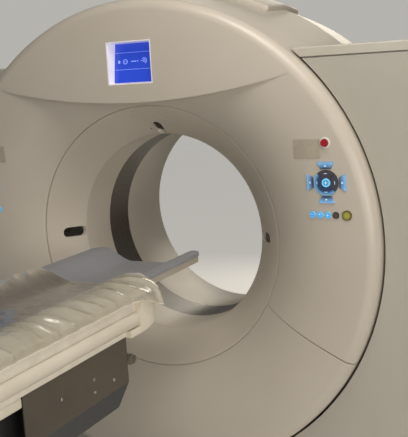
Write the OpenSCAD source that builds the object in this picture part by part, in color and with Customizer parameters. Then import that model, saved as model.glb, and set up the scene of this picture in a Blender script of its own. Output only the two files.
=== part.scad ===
// CT scanner: a ring-shaped gantry with a patient table in front of it.
// The origin is on the floor under the isocentre, +Y runs into the bore, away from the table.

/* [Gantry] */
// Height of the isocentre over the floor
iso_h = 1000; // [960:5:1060]
// Diameter of the patient bore
bore_d = 780; // [700:10:800]
// Width of the dark scan window band in the bore
band_w = 155; // [100:5:170]
// Distance from the scan plane to the front face
face_d = 485; // [470:5:520]
// Distance from the scan plane to where the funnel starts to flare
throat_d = 262; // [240:2:290]
// Radius of the face where its rounded rim starts
face_r = 840; // [830:2:850]
// Radius of the rounding between face and rim
crest_r = 45; // [30:1:50]
// Largest radius of the barrel-shaped rim
rim_r = 924; // [915:1:932]
// Distance from the scan plane to the joint of front and rear covers
split_d = 90; // [70:2:110]
// Distance from the scan plane to the rear face
rear_d = 475; // [450:5:500]
// Radius of the rear opening
rear_open_r = 439; // [430:1:450]
// Radius of the seam between the bore funnel and the front cover
seam_r = 500; // [480:2:520]
// Wall of the moulded covers
cover_t = 6; // [4:0.5:8]
// Open joint between neighbouring covers
seam_gap = 3; // [1:0.5:5]
// Angle below the horizontal at which the lower front cover starts
lower_angle = 27; // [20:1:35]

/* [Brow and display] */
// Height of the lowest point of the brow over the isocentre
brow_z = 517; // [510:1:540]
// Radius of the brow's lower edge, seen from the front
brow_r = 2500; // [2000:50:3000]
// How far the brow stands out over the plane of the face
brow_out = 9; // [4:1:14]
// Width of the display opening
display_w = 184; // [160:2:200]
// Height of the display opening
display_h = 154; // [130:2:160]
// Height of the display's centre over the isocentre
display_z = 660; // [650:2:670]
// Angle at which the screen leans to look down
display_tilt = 8; // [0:1:10]

/* [Side boxes] */
// Overall width over both side boxes
gantry_w = 2300; // [2200:10:2400]
// Height of the side boxes' top over the isocentre
box_h = 673; // [600:1:700]
// Distance from the scan plane to the boxes' front
box_front_d = 431; // [420:1:440]
// Distance from the scan plane to the boxes' back
box_back_d = 425; // [400:5:440]
// Open joint between the rim and a side box
box_gap = 8; // [6:0.5:12]
// Height of the lid strip on a side box
lid_h = 32; // [25:1:40]
// Shadow joint under the lid
lid_gap = 5; // [3:0.5:8]
// Sheet wall of a side box
box_t = 5; // [3:0.5:8]
// Height of a side box's lower edge over the floor
box_clear = 12; // [8:1:20]

/* [Rotor] */
// Radius of the rotor disc
rotor_r = 760; // [750:2:765]
// Inner radius of the rotor's hub
hub_r = 430; // [425:1:436]
// Distance of the rotor disc's front from the scan plane
disc_y = 115; // [105:1:125]
// Thickness of the rotor disc
disc_t = 35; // [28:1:40]
// Inner radius of the main bearing
bearing_ri = 600; // [590:1:610]
// Outer radius of the main bearing
bearing_ro = 700; // [690:1:705]
// Width of the main bearing
bearing_w = 50; // [40:1:55]
// Radius of the focal spot's circle
focus_r = 595; // [580:1:610]
// Distance from the focal spot to the detector
detector_d = 1085; // [1060:1:1100]
// Half of the angle that the detector spans, seen from the focal spot
fan_angle = 26; // [22:1:28]
// Thickness of one balance weight
weight_t = 60; // [40:2:68]
// Radius of the X-ray tube's housing
tube_r = 95; // [80:1:100]
// Radius of the slip ring's contact face
slip_r = 560; // [550:1:570]
// Width of the slip ring's contact face
slip_w = 66; // [60:1:80]
// Radius of the drive motor
motor_r = 54; // [48:1:56]
// Radius of the motor's belt pulley
pulley_r = 45; // [38:1:50]
// Distance of the belt pulley's axis from the bore axis
motor_d = 840; // [836:1:845]
// Thickness of the drive belt
belt_t = 6; // [4:0.5:8]

/* [Frame] */
// Height of the floor beams
beam_h = 60; // [50:1:66]
// Width of the floor beams
beam_w = 160; // [140:5:180]
// Distance between the centres of the left and right floor beams
beam_span = 1920; // [1860:10:1980]
// Distance between the front and rear anchor holes
anchor_span = 680; // [600:10:700]
// Diameter of an anchor hole
anchor_d = 22; // [18:1:26]
// Outer radius of the stationary frame
stator_r = 838; // [830:1:842]
// Distance of the frame's legs from the middle
leg_x = 420; // [400:5:440]

/* [Controls] */
// Distance of the key group's centre from the middle
keys_x = 714; // [705:1:725]
// Height of the key group's centre over the isocentre
keys_z = 226; // [215:1:235]
// Outer radius of the four ring keys
ring_key_r = 42; // [38:1:44]
// Radius of the centre key
centre_key_r = 14; // [12:0.5:16]
// Height of the row of round keys over the isocentre
row_z = 117; // [110:1:125]
// Radius of a small round key
round_key_r = 11; // [9:0.5:12]
// Radius of the large round key
start_key_r = 16; // [14:0.5:18]
// Height of the stop button over the isocentre
stop_z = 358; // [345:1:370]
// Radius of the stop button
stop_r = 12; // [10:0.5:14]
// Clearance round each key
key_gap = 1; // [0.5:0.1:1.2]
// How far a key's head stands out of the cover
key_out = 4; // [3:0.5:6]
// Travel of a key
key_travel = 1.5; // [1:0.1:2]

/* [Table] */
// Distance from the scan plane to the tabletop's tip
top_tip_d = 446; // [440:1:470]
// Length of the tabletop
top_l = 2400; // [2300:10:2500]
// Width of the tabletop
top_w = 453; // [430:1:470]
// Height of the tabletop pad's edges under the isocentre
top_z = 28; // [25:1:35]
// Depth of the trough along the tabletop
trough = 50; // [40:1:55]
// Thickness of the carbon cradle
cradle_t = 22; // [18:1:24]
// Thickness of the pad on the cradle
pad_t = 12; // [8:1:14]
// Distance from the scan plane to the table frame's front
frame_d = 860; // [840:5:900]
// Length of the table frame
frame_l = 2140; // [2100:10:2200]
// Width of the table frame
frame_w = 516; // [500:2:530]
// Depth of the table frame
frame_h = 100; // [98:1:110]
// Wall of the table frame
frame_t = 8; // [6:0.5:10]
// Height of the accessory rail
rail_h = 44; // [38:1:46]
// How far the rail stands out from the frame
rail_out = 18; // [14:1:22]
// Length of the front end cap
cap_l = 140; // [120:5:160]
// Length of a skirt plate
skirt_l = 503; // [450:5:515]
// Height of a skirt plate down to its bend
skirt_h = 140; // [120:5:150]
// Height of the fold under a skirt plate's bend
fold_h = 66; // [50:2:72]
// Thickness of a skirt plate
skirt_t = 4; // [3:0.5:6]
// Length of the base cover
base_l = 1080; // [1000:10:1100]
// Width of the base cover
base_w = 460; // [420:5:480]
// Height of the base cover's top over the floor
base_h = 460; // [420:5:500]
// Wall of the base and lift covers
base_t = 5; // [4:0.5:8]
// Diameter of the lift screw
screw_d = 24; // [20:1:30]
// Distance between the table's front and rear anchor holes
foot_span = 900; // [860:10:940]

/* [Mattress and sheet] */
// Width of the mattress
mattress_w = 524; // [510:2:530]
// Height of the mattress over the pad's edges
mattress_rise = 10; // [8:1:16]
// Depth of the trough in the mattress
mattress_trough = 38; // [34:1:42]
// Thickness of the clear vinyl sheet, drawn thicker than the real film
sheet_t = 1.5; // [1:0.5:2]
// Distance from the scan plane to the sheet's front edge
sheet_d = 872; // [870:1:900]
// Length of the sheet
sheet_l = 1900; // [1800:10:1950]
// Height of the sheet's side hem under the isocentre
sheet_hem = 66; // [63:1:80]

/* [Hidden] */
$fn = 96;
// Radial steps along a moulded curve
curve_n = 14;
eps = 0.1;
fit = 0.3;

bore_r = bore_d/2;
throat_r = bore_r - 2;
face_rise = face_d - throat_d;
face_pow = 2.9;
rim_front_r = face_r + crest_r;
rear_rim_r = rim_r - 28;
rear_crest_r = 35;
lip_r = rear_open_r + 32;
band_t = 4;
disc_back = disc_y + disc_t;
bearing_y = disc_back;
race_split = (bearing_ri + bearing_ro)/2;
race_gap = 2;
ball_r = 10;
stator_y = bearing_y + bearing_w;
stator_t = 30;
leg_w = 120;
leg_y = stator_y - 40;
leg_t = 90;
leg_top = 600;
foot_t = 12;
belt_w = 36;
belt_y = disc_back - belt_w/2 - 1;
motor_angle = -45;
box_top = box_h - lid_h - lid_gap;
floor_line = beam_h + box_gap - iso_h;
box_w_half = gantry_w/2;
box_foot_x = 350;
base_gap = 2;
base_plate_t = 6;
stem_in = 6;
hump_angle = 25;
hump_h = 20;
hump_front = 100;
hump_back = 255;
hump_round = 12;
window_in = 264;
window_out = 340;
window_h = 40;
top_window_in = 266;
top_window_out = 326;
top_window_w = 38;
screen_w = display_w - 24;
screen_h = display_h - 14;
screen_t = 4;
screen_back = 32;
trough_in = 70;
trough_out = 195;
mattress_in = 50;
mattress_out = 170;
shoulder_x = 200;
shoulder_drop = 28;
rail_z = -122;
rail_round = 27;
cap_w = frame_w + 2*rail_out + 4;
cap_t = 5;
cap_nose = 110;
cap_round = 70;
open_w = 208;
frame_top = -62;
frame_bottom = frame_top - frame_h;
cap_top = -sheet_hem - 2;
frame_back = frame_d + frame_l;
skirt_front = 1066;
fold_in = 14;
fold_chamfer = 45;
skirt_flange = 60;
tube_cross_r = 19;
base_front = 1600;
base_back = base_front + base_l;
lift_gap = 14;
column_y = [1900, 2380];
screw_y = 2140;
column_w = 100;
sleeve_w = 124;
sleeve_t = 8;
column_bottom = 200;
sleeve_top = 400;
nut_z = 560;
nut_t = 30;
screw_l = 620;
foot_h = 40;
foot_edge = 20;
nut_r = 32;
column_wall = 8;
column_flange = 50;
flange_t = 12;
lift_bottom = 330;
screw_seat = 12;
carriage_l = 400;
carriage_back = frame_back - 440;
frame_floor = frame_bottom + frame_t;
slip_y = bearing_y + bearing_w + 14;
unit_w = 300;
unit_in = 500;
unit_out = sqrt(pow(rotor_r - 27, 2) - pow(unit_w/2, 2));
unit_l = 300;
cooler_l = 240;
tank_w = 20;
fin_pitch = 20.6;
tongue = 14;
guide_h = 14;
guide_x = 120;
guide_w = 30;
carriage_x = 170;

// Curve of the face and funnel: its distance in front of the scan plane at radius r
function face_y(r) = -(face_d - face_rise*pow(max(face_r - r, 0)/(face_r - throat_r), face_pow));
function face_slope(r) = -face_rise*face_pow/(face_r - throat_r)
    * pow(max(face_r - r, 0)/(face_r - throat_r), face_pow - 1);
// Point of the face at radius r, moved into the machine by d along the normal
function face_point(r, d = 0) = let (s = face_slope(r), n = sqrt(1 + s*s)) [r - d*s/n, face_y(r) + d/n];
function steps(a, b, n) = [for (i = [0:n]) a + (b - a)*i/n];
function face_curve(r0, r1, d = 0, n = curve_n) = [for (r = steps(r0, r1, n)) face_point(r, d)];
function arc(c, r, a0, a1, n = 6) = [for (a = steps(a0, a1, n)) [c[0] + r*cos(a), c[1] + r*sin(a)]];
function reversed(v) = [for (i = [len(v) - 1:-1:0]) v[i]];
// Curve of the brow at radius r
function brow_y(r) = let (u = (face_r - r)/(face_r - brow_z)) -face_d - brow_out*u*(2.2 - 1.7*u);
// Curve of the rear funnel at distance y behind the scan plane
function rear_r(y) = bore_r + (rear_open_r - bore_r)*pow((y - band_w/2)/(rear_d - 10 - band_w/2), 1.6);
// Inner radius of the rear cover at distance y behind the scan plane
function rear_inner_r(y) = let (y0 = split_d + seam_gap/2 + 10, y1 = rear_d - rear_crest_r,
    r0 = rim_r - 2*cover_t - fit)
    r0 + (rear_rim_r - cover_t - r0)*(y - y0)/(y1 - y0);
// Radius of the rim at distance y behind the scan plane
function rim_at(y) = y < split_d
    ? rim_front_r + (rim_r - rim_front_r)*(y + face_d - crest_r)/(split_d + face_d - crest_r)
    : rim_r - (rim_r - rear_rim_r)*(y - split_d)/(rear_d - rear_crest_r - split_d);
function ease(t) = let (u = min(max(t, 0), 1)) u*u*(3 - 2*u);
// Upper surface of the pad across the table at x
function pad_z(x) = -top_z - trough*(1 - ease((abs(x) - trough_in)/(trough_out - trough_in)));
// Upper surface of the mattress at x, with a rounded shoulder at each side
function mattress_z(x) = mattress_rise - top_z
    - mattress_trough*(1 - ease((abs(x) - mattress_in)/(mattress_out - mattress_in)))
    - shoulder_drop*pow(max(abs(x) - shoulder_x, 0)/(mattress_w/2 - shoulder_x), 2);

// Spins a profile of [radius, distance along Y] round the bore axis
module around_bore(a = 360) {
    translate([0, 0, iso_h]) rotate([-90, 0, 0]) rotate_extrude(angle = a, $fn = 180) children();
}

// Extrudes a profile of [x, height over the isocentre] from y0 to y1
module along_y(y0, y1) {
    translate([0, y1, iso_h]) rotate([90, 0, 0]) linear_extrude(y1 - y0) children();
}

// Block from one corner to the other, with z over the isocentre
module block(p, q) {
    translate([p[0], p[1], iso_h + p[2]]) cube([q[0] - p[0], q[1] - p[1], q[2] - p[2]]);
}

module mirrored() {
    children();
    mirror([1, 0, 0]) children();
}

// Wedge of the ring below the two seams of the lower front cover
module lower_wedge(shift) {
    far = 1400;
    along_y(-face_d - 100, split_d + 100)
        polygon([[0, -shift], [far*cos(lower_angle), -far*sin(lower_angle) - shift], [far, floor_line],
            [-far, floor_line], [-far*cos(lower_angle), -far*sin(lower_angle) - shift]]);
}

// Ring shell of the face, the rounded crest and the front half of the rim
module front_ring_shell() {
    c = [face_r, -face_d + crest_r];
    around_bore() polygon(concat(face_curve(seam_r + seam_gap/2, face_r), arc(c, crest_r, -90, 0),
        [[rim_r, split_d - seam_gap/2], [rim_r - cover_t, split_d - seam_gap/2]],
        arc(c, crest_r - cover_t, 0, -90), reversed(face_curve(seam_r + seam_gap/2, face_r, cover_t))));
}

// Everything above the brow's lower edge, less d
module above_brow(d) {
    along_y(-face_d - 100, split_d) translate([0, brow_z + brow_r]) circle(brow_r - d, $fn = 360);
}

module brow_skin() {
    r0 = seam_r + seam_gap/2;
    curve = [for (r = steps(r0, face_r, curve_n)) [r, brow_y(r)]];
    intersection() {
        around_bore() polygon(concat(curve, reversed(face_curve(r0, face_r, cover_t))));
        above_brow(0);
    }
}

module brow_hollow() {
    r1 = face_r - 4;
    curve = [for (r = steps(seam_r - 20, r1, curve_n)) [r, brow_y(r) + cover_t]];
    intersection() {
        around_bore() polygon(concat(curve, [[r1, -face_d + 160], [seam_r - 20, -face_d + 160]]));
        above_brow(cover_t);
    }
}

// Outline of one key, at its place on the panel of the right-hand side, grown by d
module key_outline(name, d = 0) {
    if (name == "stop") translate([keys_x, stop_z]) circle(stop_r + d);
    if (name == "centre") translate([keys_x, keys_z]) circle(centre_key_r + d);
    for (i = [0:3]) {
        if (name == str("ring", i)) ring_key_outline(90*i, d);
        if (name == str("outer", i)) outer_key_outline(90*i, d);
    }
    for (i = [0:3]) if (name == str("row", i)) translate([keys_x - 54 + 28*i, row_z]) circle(round_key_r + d);
    if (name == "start") translate([keys_x + 68, row_z]) circle(start_key_r + d);
}

module ring_key_outline(a, d) {
    inner = centre_key_r + 2*key_gap - d;
    translate([keys_x, keys_z]) rotate(a) difference() {
        intersection() {
            circle(ring_key_r + d);
            polygon([[0, key_gap - d], [80, 80 + key_gap - d], [-80, 80 + key_gap - d]]);
        }
        circle(inner);
    }
}

module outer_key_outline(a, d) {
    inner = ring_key_r + 4 - d;
    translate([keys_x, keys_z]) rotate(a)
        polygon([[-17 - d, inner], [17 + d, inner], [28 + d, ring_key_r + 26 + d],
            [-28 - d, ring_key_r + 26 + d]]);
}

key_names = concat(["stop", "centre"], [for (i = [0:3]) str("ring", i)], [for (i = [0:3]) str("outer", i)],
    [for (i = [0:3]) str("row", i)], ["start"]);

// Openings of one side's keys in the cover
module key_openings() {
    along_y(-face_d - 20, -face_d + 60) {
        translate([keys_x, keys_z]) circle(ring_key_r + key_gap);
        for (name = key_names) if (name[0] != "r" || name[1] == "o") key_outline(name, key_gap);
    }
}

// Layer parallel to the front cover's face, between two depths under its surface
module face_layer(d0, d1) {
    r0 = seam_r + seam_gap/2;
    around_bore() polygon(concat(face_curve(r0, face_r, d0), reversed(face_curve(r0, face_r, d1))));
}

// One key: a head that stands out of the cover and a stem that slides in the key base
module key(name, out = key_out) {
    head = cover_t + base_gap - key_travel - fit;
    intersection() {
        along_y(-face_d - 20, -face_d + 60) key_outline(name);
        face_layer(-out, head);
    }
    intersection() {
        along_y(-face_d - 20, -face_d + 60) key_outline(name, -stem_in);
        face_layer(head - eps, cover_t + base_gap + base_plate_t + 3);
    }
}

module front_cover() {
    color("antiquewhite") difference() {
        union() {
            difference() {
                front_ring_shell();
                lower_wedge(-seam_gap/2);
            }
            brow_skin();
        }
        brow_hollow();
        block([-display_w/2, -face_d - 40, display_z - display_h/2],
            [display_w/2, -face_d + 60, display_z + display_h/2]);
        mirrored() key_openings();
    }
}

module lower_front_cover() {
    color("antiquewhite") intersection() {
        front_ring_shell();
        lower_wedge(seam_gap/2);
    }
}

// Moulded funnel from the seam on the face to the scan window, pierced by three laser slots
module bore_funnel() {
    r0 = throat_r + 5;
    r1 = seam_r - seam_gap/2;
    r2 = seam_r + seam_gap/2 + tongue;
    color("linen") difference() {
        around_bore() polygon(concat([[bore_r, -band_w/2], [throat_r, -throat_d]], face_curve(r0, r1),
            [face_point(r1, cover_t + fit)], face_curve(r1 + 2, r2, cover_t + fit, 2),
            reversed(face_curve(r0, r2, 2*cover_t)), [[throat_r + 2*cover_t, -throat_d + 6],
            [bore_r + cover_t, -throat_d + 40], [bore_r + cover_t, -band_w/2]]));
        laser_slots(0);
    }
}

// Three rounded slots through the funnel's wall for the positioning lasers, grown by d
module laser_slots(d) {
    for (a = [0, 180]) laser_slot(a, window_in, window_out, window_h, d);
    laser_slot(90, top_window_in, top_window_out, top_window_w, d);
}

// One slot in the direction a seen from the front, from y0 to y1 in front of the scan plane
module laser_slot(a, y0, y1, width, d) {
    r = 16;
    translate([0, 0, iso_h]) rotate([0, -a, 0]) translate([throat_r - 40, 0, 0]) rotate([90, 0, 90])
        linear_extrude(140) {
            for (y = [-y0 - r, -y1 + r], z = [r - width/2, width/2 - r])
                translate([y, z]) circle(r + d, $fn = 32);
            translate([-y1 + r, -width/2 - d]) square([y1 - y0 - 2*r, width + 2*d]);
            translate([-y1 - d, r - width/2]) square([y1 - y0 + 2*d, width - 2*r]);
        }
}

module laser_windows() {
    r0 = throat_r + 3;
    r1 = seam_r - 20;
    color("black") intersection() {
        around_bore() polygon(concat(face_curve(r0, r1, 2*cover_t + fit),
            reversed(face_curve(r0, r1, 2*cover_t + 4))));
        laser_slots(4);
    }
}

module scan_window_ring() {
    color("dimgray") around_bore()
        translate([bore_r, -band_w/2 + eps]) square([band_t, band_w - 2*eps]);
}

module rear_funnel() {
    back = rear_d - 10;
    inner = [for (y = steps(band_w/2, back, curve_n)) [rear_r(y), y]];
    outer = [for (y = steps(band_w/2, back - 8, curve_n)) [rear_r(y) + cover_t, y]];
    color("linen") around_bore() polygon(concat(inner, arc([rear_open_r + 22, back - 12], 22, 150, 90, 4),
        [[lip_r, rear_d - 0.5], [lip_r, rear_d - cover_t]], reversed(outer)));
}

// Opening for a leg of the stationary frame
module leg_room() {
    room = 6;
    block([leg_x - leg_w/2 - room, leg_y - room, floor_line],
        [leg_x + leg_w/2 + room, leg_y + leg_t + room, room - leg_top]);
}

module rear_cover() {
    c = [rear_rim_r - rear_crest_r, rear_d - rear_crest_r];
    edge = split_d + seam_gap/2;
    inner = rim_r - cover_t;
    color("antiquewhite") difference() {
        around_bore() polygon(concat([[inner - cover_t - fit, edge + 10],
            [inner - cover_t - fit - 1, edge - seam_gap - tongue], [inner - fit - 2, edge - seam_gap - tongue],
            [inner - fit, edge], [rim_r, edge]], arc(c, rear_crest_r, 0, 90),
            [[lip_r + seam_gap/2, rear_d], [lip_r + seam_gap/2, rear_d - cover_t]],
            arc(c, rear_crest_r - cover_t, 90, 0)));
        mirrored() {
            leg_room();
            for (i = [0:7]) block([560, rear_d - 20, -420 + 34*i], [720, rear_d + 20, -406 + 34*i]);
        }
        block([-rim_r - 20, split_d, -iso_h - 20], [rim_r + 20, rear_d + 20, floor_line]);
    }
}

// Low raised cover on top of the ring, its foot on the rim
module top_cover() {
    reach = rim_r + 300;
    side = [reach*sin(hump_angle), reach*cos(hump_angle)];
    front = -hump_front + hump_round;
    back = hump_back - hump_round;
    color("antiquewhite") intersection() {
        around_bore() polygon(concat([[rim_at(-hump_front) + fit, -hump_front]],
            arc([rim_at(front) + hump_h - hump_round, front], hump_round, -90, 0), [[rim_r + hump_h, split_d]],
            arc([rim_at(back) + hump_h - hump_round, back], hump_round, 0, 90),
            [[rim_at(hump_back) + fit, hump_back], [rim_r + fit, split_d]]));
        along_y(-hump_front - 10, hump_back + 10) polygon([[0, 0], side, [0, reach + 200], [-side[0], side[1]]]);
    }
}

// Barrel round the rim, grown by d
module rim_barrel(d) {
    around_bore() polygon([[0, -face_d - 50], [rim_front_r + d - 4, -face_d - 50],
        [rim_front_r + d, -face_d + crest_r], [rim_r + d, split_d], [rear_rim_r + d, rear_d - rear_crest_r],
        [rear_rim_r + d - 3, rear_d + 50], [0, rear_d + 50]]);
}

module side_box() {
    difference() {
        block([box_foot_x, -box_front_d, box_clear - iso_h], [box_w_half, box_back_d, box_top]);
        difference() {
            block([box_foot_x + box_t, -box_front_d + box_t, -iso_h - 10],
                [box_w_half - box_t, box_back_d - box_t, box_top - box_t]);
            rim_barrel(box_gap + box_t);
        }
        rim_barrel(box_gap);
        block([box_foot_x - 1, -anchor_span/2 - 60, -iso_h],
            [box_foot_x + box_t + 1, leg_y + leg_t + 45, floor_line + foot_t]);
        leg_room();
    }
}

module lid() {
    z0 = box_top + lid_gap;
    difference() {
        union() {
            block([box_foot_x, -box_front_d - 2, z0], [box_w_half + 2, box_back_d + 2, z0 + lid_h - 6]);
            block([box_foot_x, -box_front_d + 4, z0], [box_w_half - 4, box_back_d - 4, z0 + lid_h]);
            translate([0, -box_front_d + 4, iso_h + z0 + lid_h - 6]) rotate([0, 90, 0])
                cylinder(r = 6, h = box_w_half - 4, $fn = 32);
            block([box_foot_x, -box_front_d + 14, box_top], [box_w_half - 14, box_back_d - 14, z0 + eps]);
        }
        rim_barrel(box_gap);
    }
}

module right_side_box() { color("gainsboro") side_box(); }
module left_side_box() { color("gainsboro") mirror([1, 0, 0]) side_box(); }
module side_box_lids() { color("whitesmoke") mirrored() lid(); }

// Tray behind the brow's opening, with sloping walls down to the screen
module display_bezel() {
    w = display_w/2 - fit;
    h = display_h/2 - fit;
    y0 = brow_y(display_z - display_h/2) + 1;
    color("white") difference() {
        block([-w, y0, display_z - h], [w, -face_d + 50, display_z + h]);
        hull() {
            block([-w + 3, y0 - 10, display_z - h + 3], [w - 3, y0 - 9, display_z + h - 3]);
            block([-screen_w/2 + 1, -face_d + screen_back + 12, display_z - screen_h/2 + 1],
                [screen_w/2 - 1, -face_d + screen_back + 13, display_z + screen_h/2 - 1]);
        }
        screen_body(fit);
    }
}

module screen_body(d) {
    translate([0, -face_d + screen_back, iso_h + display_z]) rotate([-display_tilt, 0, 0])
        translate([-screen_w/2 - 2 - d, -d, -screen_h/2 - d])
            cube([screen_w + 4 + 2*d, screen_t + 2*d + (d > 0 ? 30 : 0), screen_h + 2*d]);
}

module display_screen() { color("royalblue") screen_body(0); }

// Plate behind the cover that guides the stems of one side's keys; the listed ones are moulded to it
module key_base(moulded = []) {
    reach = cover_t + base_gap + base_plate_t;
    intersection() {
        face_layer(cover_t + base_gap, reach);
        along_y(-face_d - 20, -face_d + 60) difference() {
            translate([keys_x - 84, row_z - 30]) square([184, stop_z - row_z + 54]);
            for (name = key_names)
                if (moulded == [] || name == "stop") key_outline(name, key_gap/2 - stem_in);
        }
    }
    intersection() {
        face_layer(cover_t + fit, cover_t + base_gap + 1);
        along_y(-face_d - 20, -face_d + 60) for (x = [keys_x - 78, keys_x + 94], z = [row_z - 24, stop_z + 18])
            translate([x, z]) circle(5, $fn = 24);
    }
    if (len(moulded) > 0) intersection() {
        face_layer(-key_out, cover_t + base_gap + eps);
        along_y(-face_d - 20, -face_d + 60) for (name = moulded) key_outline(name);
    }
}

module right_key_base() { color("slategray") key_base(); }

// The left group is one piece: its keys are fused to their base
module left_key_base() {
    color("slategray") mirror([1, 0, 0]) key_base([for (name = key_names) if (name != "stop") name]);
}

module right_stop_button() { color("firebrick") key("stop", key_out + 6); }
module left_stop_button() { color("firebrick") mirror([1, 0, 0]) key("stop", key_out + 6); }
module right_centre_key() { color("deepskyblue") key("centre"); }
module ring_key(i) { color("darkslateblue") key(str("ring", i)); }
module outer_key(i) { color("steelblue") key(str("outer", i)); }
module row_key(i) { color(i < 3 ? "dodgerblue" : "dimgray") key(str("row", i)); }
module right_start_key() { color("olive") key("start"); }

// Floor beams under the side boxes, joined by two cross beams
module gantry_base() {
    x = beam_span/2;
    color("dimgray") difference() {
        union() {
            mirrored() {
                translate([x - beam_w/2, -anchor_span/2 - 50, 0]) cube([beam_w, anchor_span + 100, beam_h]);
                for (s = [-1, 1]) translate([x, s*anchor_span/4 - 40, 20])
                    cube([box_w_half - box_t - fit - x, 80, 30]);
            }
            translate([-x, leg_y - 25, 0]) cube([2*x, leg_t + 50, beam_h]);
            translate([-x, -anchor_span/2 - 40, 0]) cube([2*x, 90, beam_h]);
        }
        mirrored() for (s = [-1, 1]) translate([x, s*anchor_span/2, -1])
            cylinder(d = anchor_d, h = beam_h + 2);
    }
}

// Cast ring that carries the bearing, with two legs down to the rear cross beam
module stationary_frame() {
    arm_y = leg_y + 30;
    color("slategray") union() {
        around_bore() polygon([[race_split + 8, stator_y], [bearing_ro + fit, stator_y],
            [bearing_ro + fit, bearing_y + 8], [bearing_ro + 18, bearing_y + 8], [bearing_ro + 18, stator_y],
            [stator_r - 24, stator_y], [stator_r - 24, leg_y], [stator_r, leg_y], [stator_r, leg_y + leg_t],
            [stator_r - 24, leg_y + leg_t], [stator_r - 24, stator_y + stator_t],
            [race_split + 8, stator_y + stator_t]]);
        intersection() {
            around_bore() polygon([[stator_r - 1, arm_y], [rear_inner_r(arm_y) - fit, arm_y],
                [rear_inner_r(arm_y + 30) - fit, arm_y + 30], [stator_r - 1, arm_y + 30]]);
            along_y(leg_y, leg_y + leg_t) for (a = [15, 60, 120, 165, 215, 325]) rotate(a)
                translate([stator_r - 60, -40]) square([160, 80]);
        }
        mirrored() {
            difference() {
                translate([leg_x - leg_w/2, leg_y, beam_h]) cube([leg_w, leg_t, iso_h - beam_h - leg_top]);
                rim_disc(stator_r - 30);
            }
            translate([leg_x - leg_w/2 - 20, leg_y - 15, beam_h]) cube([leg_w + 40, leg_t + 30, foot_t]);
        }
    }
}

module rim_disc(r) {
    translate([0, leg_y - 5, iso_h]) rotate([-90, 0, 0]) cylinder(r = r, h = leg_t + 10, $fn = 180);
}

module race_groove() {
    translate([race_split, bearing_y + bearing_w/2]) circle(ball_r + fit, $fn = 48);
}

module bearing_outer_race() {
    color("silver") around_bore() difference() {
        translate([race_split + race_gap/2, bearing_y + 8])
            square([bearing_ro - race_split - race_gap/2, bearing_w - 8]);
        race_groove();
    }
}

module bearing_inner_race() {
    color("silver") around_bore() difference() {
        translate([bearing_ri, bearing_y]) square([race_split - race_gap/2 - bearing_ri, bearing_w]);
        race_groove();
    }
}

// Disc with a hub tube, lightening holes and a ribbed belt track
module rotor_frame() {
    hub_t = 8;
    back = slip_y + slip_w;
    color("lightsteelblue") {
        difference() {
            around_bore() polygon([[hub_r, -90], [hub_r + hub_t, -90], [hub_r + hub_t, disc_y], [rotor_r - 26, disc_y],
                [rotor_r - 26, disc_y - 16], [rotor_r, disc_y - 16], [rotor_r, disc_back], [hub_r + 20, disc_back],
                [hub_r + 20, back], [hub_r, back]]);
            for (i = [0:11]) translate([0, disc_y - 5, iso_h]) rotate([0, 15 + 30*i, 0])
                translate([0, 0, 570]) rotate([-90, 0, 0]) cylinder(r = 24, h = disc_t + 10, $fn = 48);
        }
        mirrored() rotate_at_iso(45) for (i = [0:2])
            block([500 + 70*i, disc_y - 110 - 24*i, -90], [500 + 70*i + weight_t, disc_y + eps, 90]);
    }
}

module drive_pulley() {
    color("gray") motor_place() {
        translate([0, 0, belt_y - belt_w/2 - 4]) cylinder(r = pulley_r, h = belt_w + 8);
        translate([0, 0, belt_y - belt_w/2 - 8]) cylinder(r = pulley_r + 4, h = 4);
        translate([0, 0, disc_y - 60]) cylinder(r = 14, h = 60);
    }
}

module motor_place() {
    translate([0, 0, iso_h]) rotate([0, -motor_angle, 0]) translate([motor_d, 0, 0])
        rotate([-90, 0, 0]) children();
}

module drive_motor() {
    plate_y = disc_y - 62;
    half = motor_r + 32;
    arm = [stator_r - 30 - motor_d, half - 16];
    color("darkslategray") difference() {
        motor_place() {
            translate([0, 0, disc_y - 250]) cylinder(r = motor_r, h = 190);
            translate([0, 0, disc_y - 262]) cylinder(r = motor_r - 12, h = 13);
            for (i = [0:11]) rotate(30*i) translate([motor_r - 3, -3, disc_y - 230]) cube([7, 6, 150]);
            translate([-motor_r, -half, plate_y]) cube([2*motor_r, 2*half, 10]);
            for (s = [0, 1]) mirror([0, s, 0]) translate([arm[0], arm[1], plate_y + 9])
                cube([24, 16, leg_y - fit - plate_y - 9]);
        }
        motor_place() translate([0, 0, disc_y - 70]) cylinder(r = 16, h = 90);
    }
}

// Belt seen along the bore, d outside the pitch line: an arc on the rotor and one on the pulley
function belt_loop(d) = let (b = acos((rotor_r - pulley_r)/motor_d))
    concat(arc([0, 0], rotor_r + d, b, 360 - b, 72), arc([motor_d, 0], pulley_r + d, -b, b, 12));

module drive_belt() {
    color("black") along_y(belt_y - belt_w/2 + 2, belt_y + belt_w/2 - 2) rotate(motor_angle) difference() {
        polygon(belt_loop(belt_t));
        polygon(belt_loop(fit + 0.5));
    }
}

module brush_block() {
    outer = race_split + 8;
    back = stator_y + stator_t;
    pitch = slip_w/6;
    color("saddlebrown") {
        block([-46, back + fit, -outer - 60], [46, back + 12, -outer + 60]);
        block([-46, slip_y + 2, -outer + 10], [46, slip_y + slip_w, -slip_r - 12]);
        block([-46, stator_y + 10, -outer + 8], [46, back + 12, -outer + 20]);
        for (i = [0:5], x = [-30, -8, 14])
            block([x, slip_y + pitch*i + 3, -slip_r - 12 - eps],
                [x + 16, slip_y + pitch*(i + 1) - 3, -slip_r - fit]);
    }
}

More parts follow.
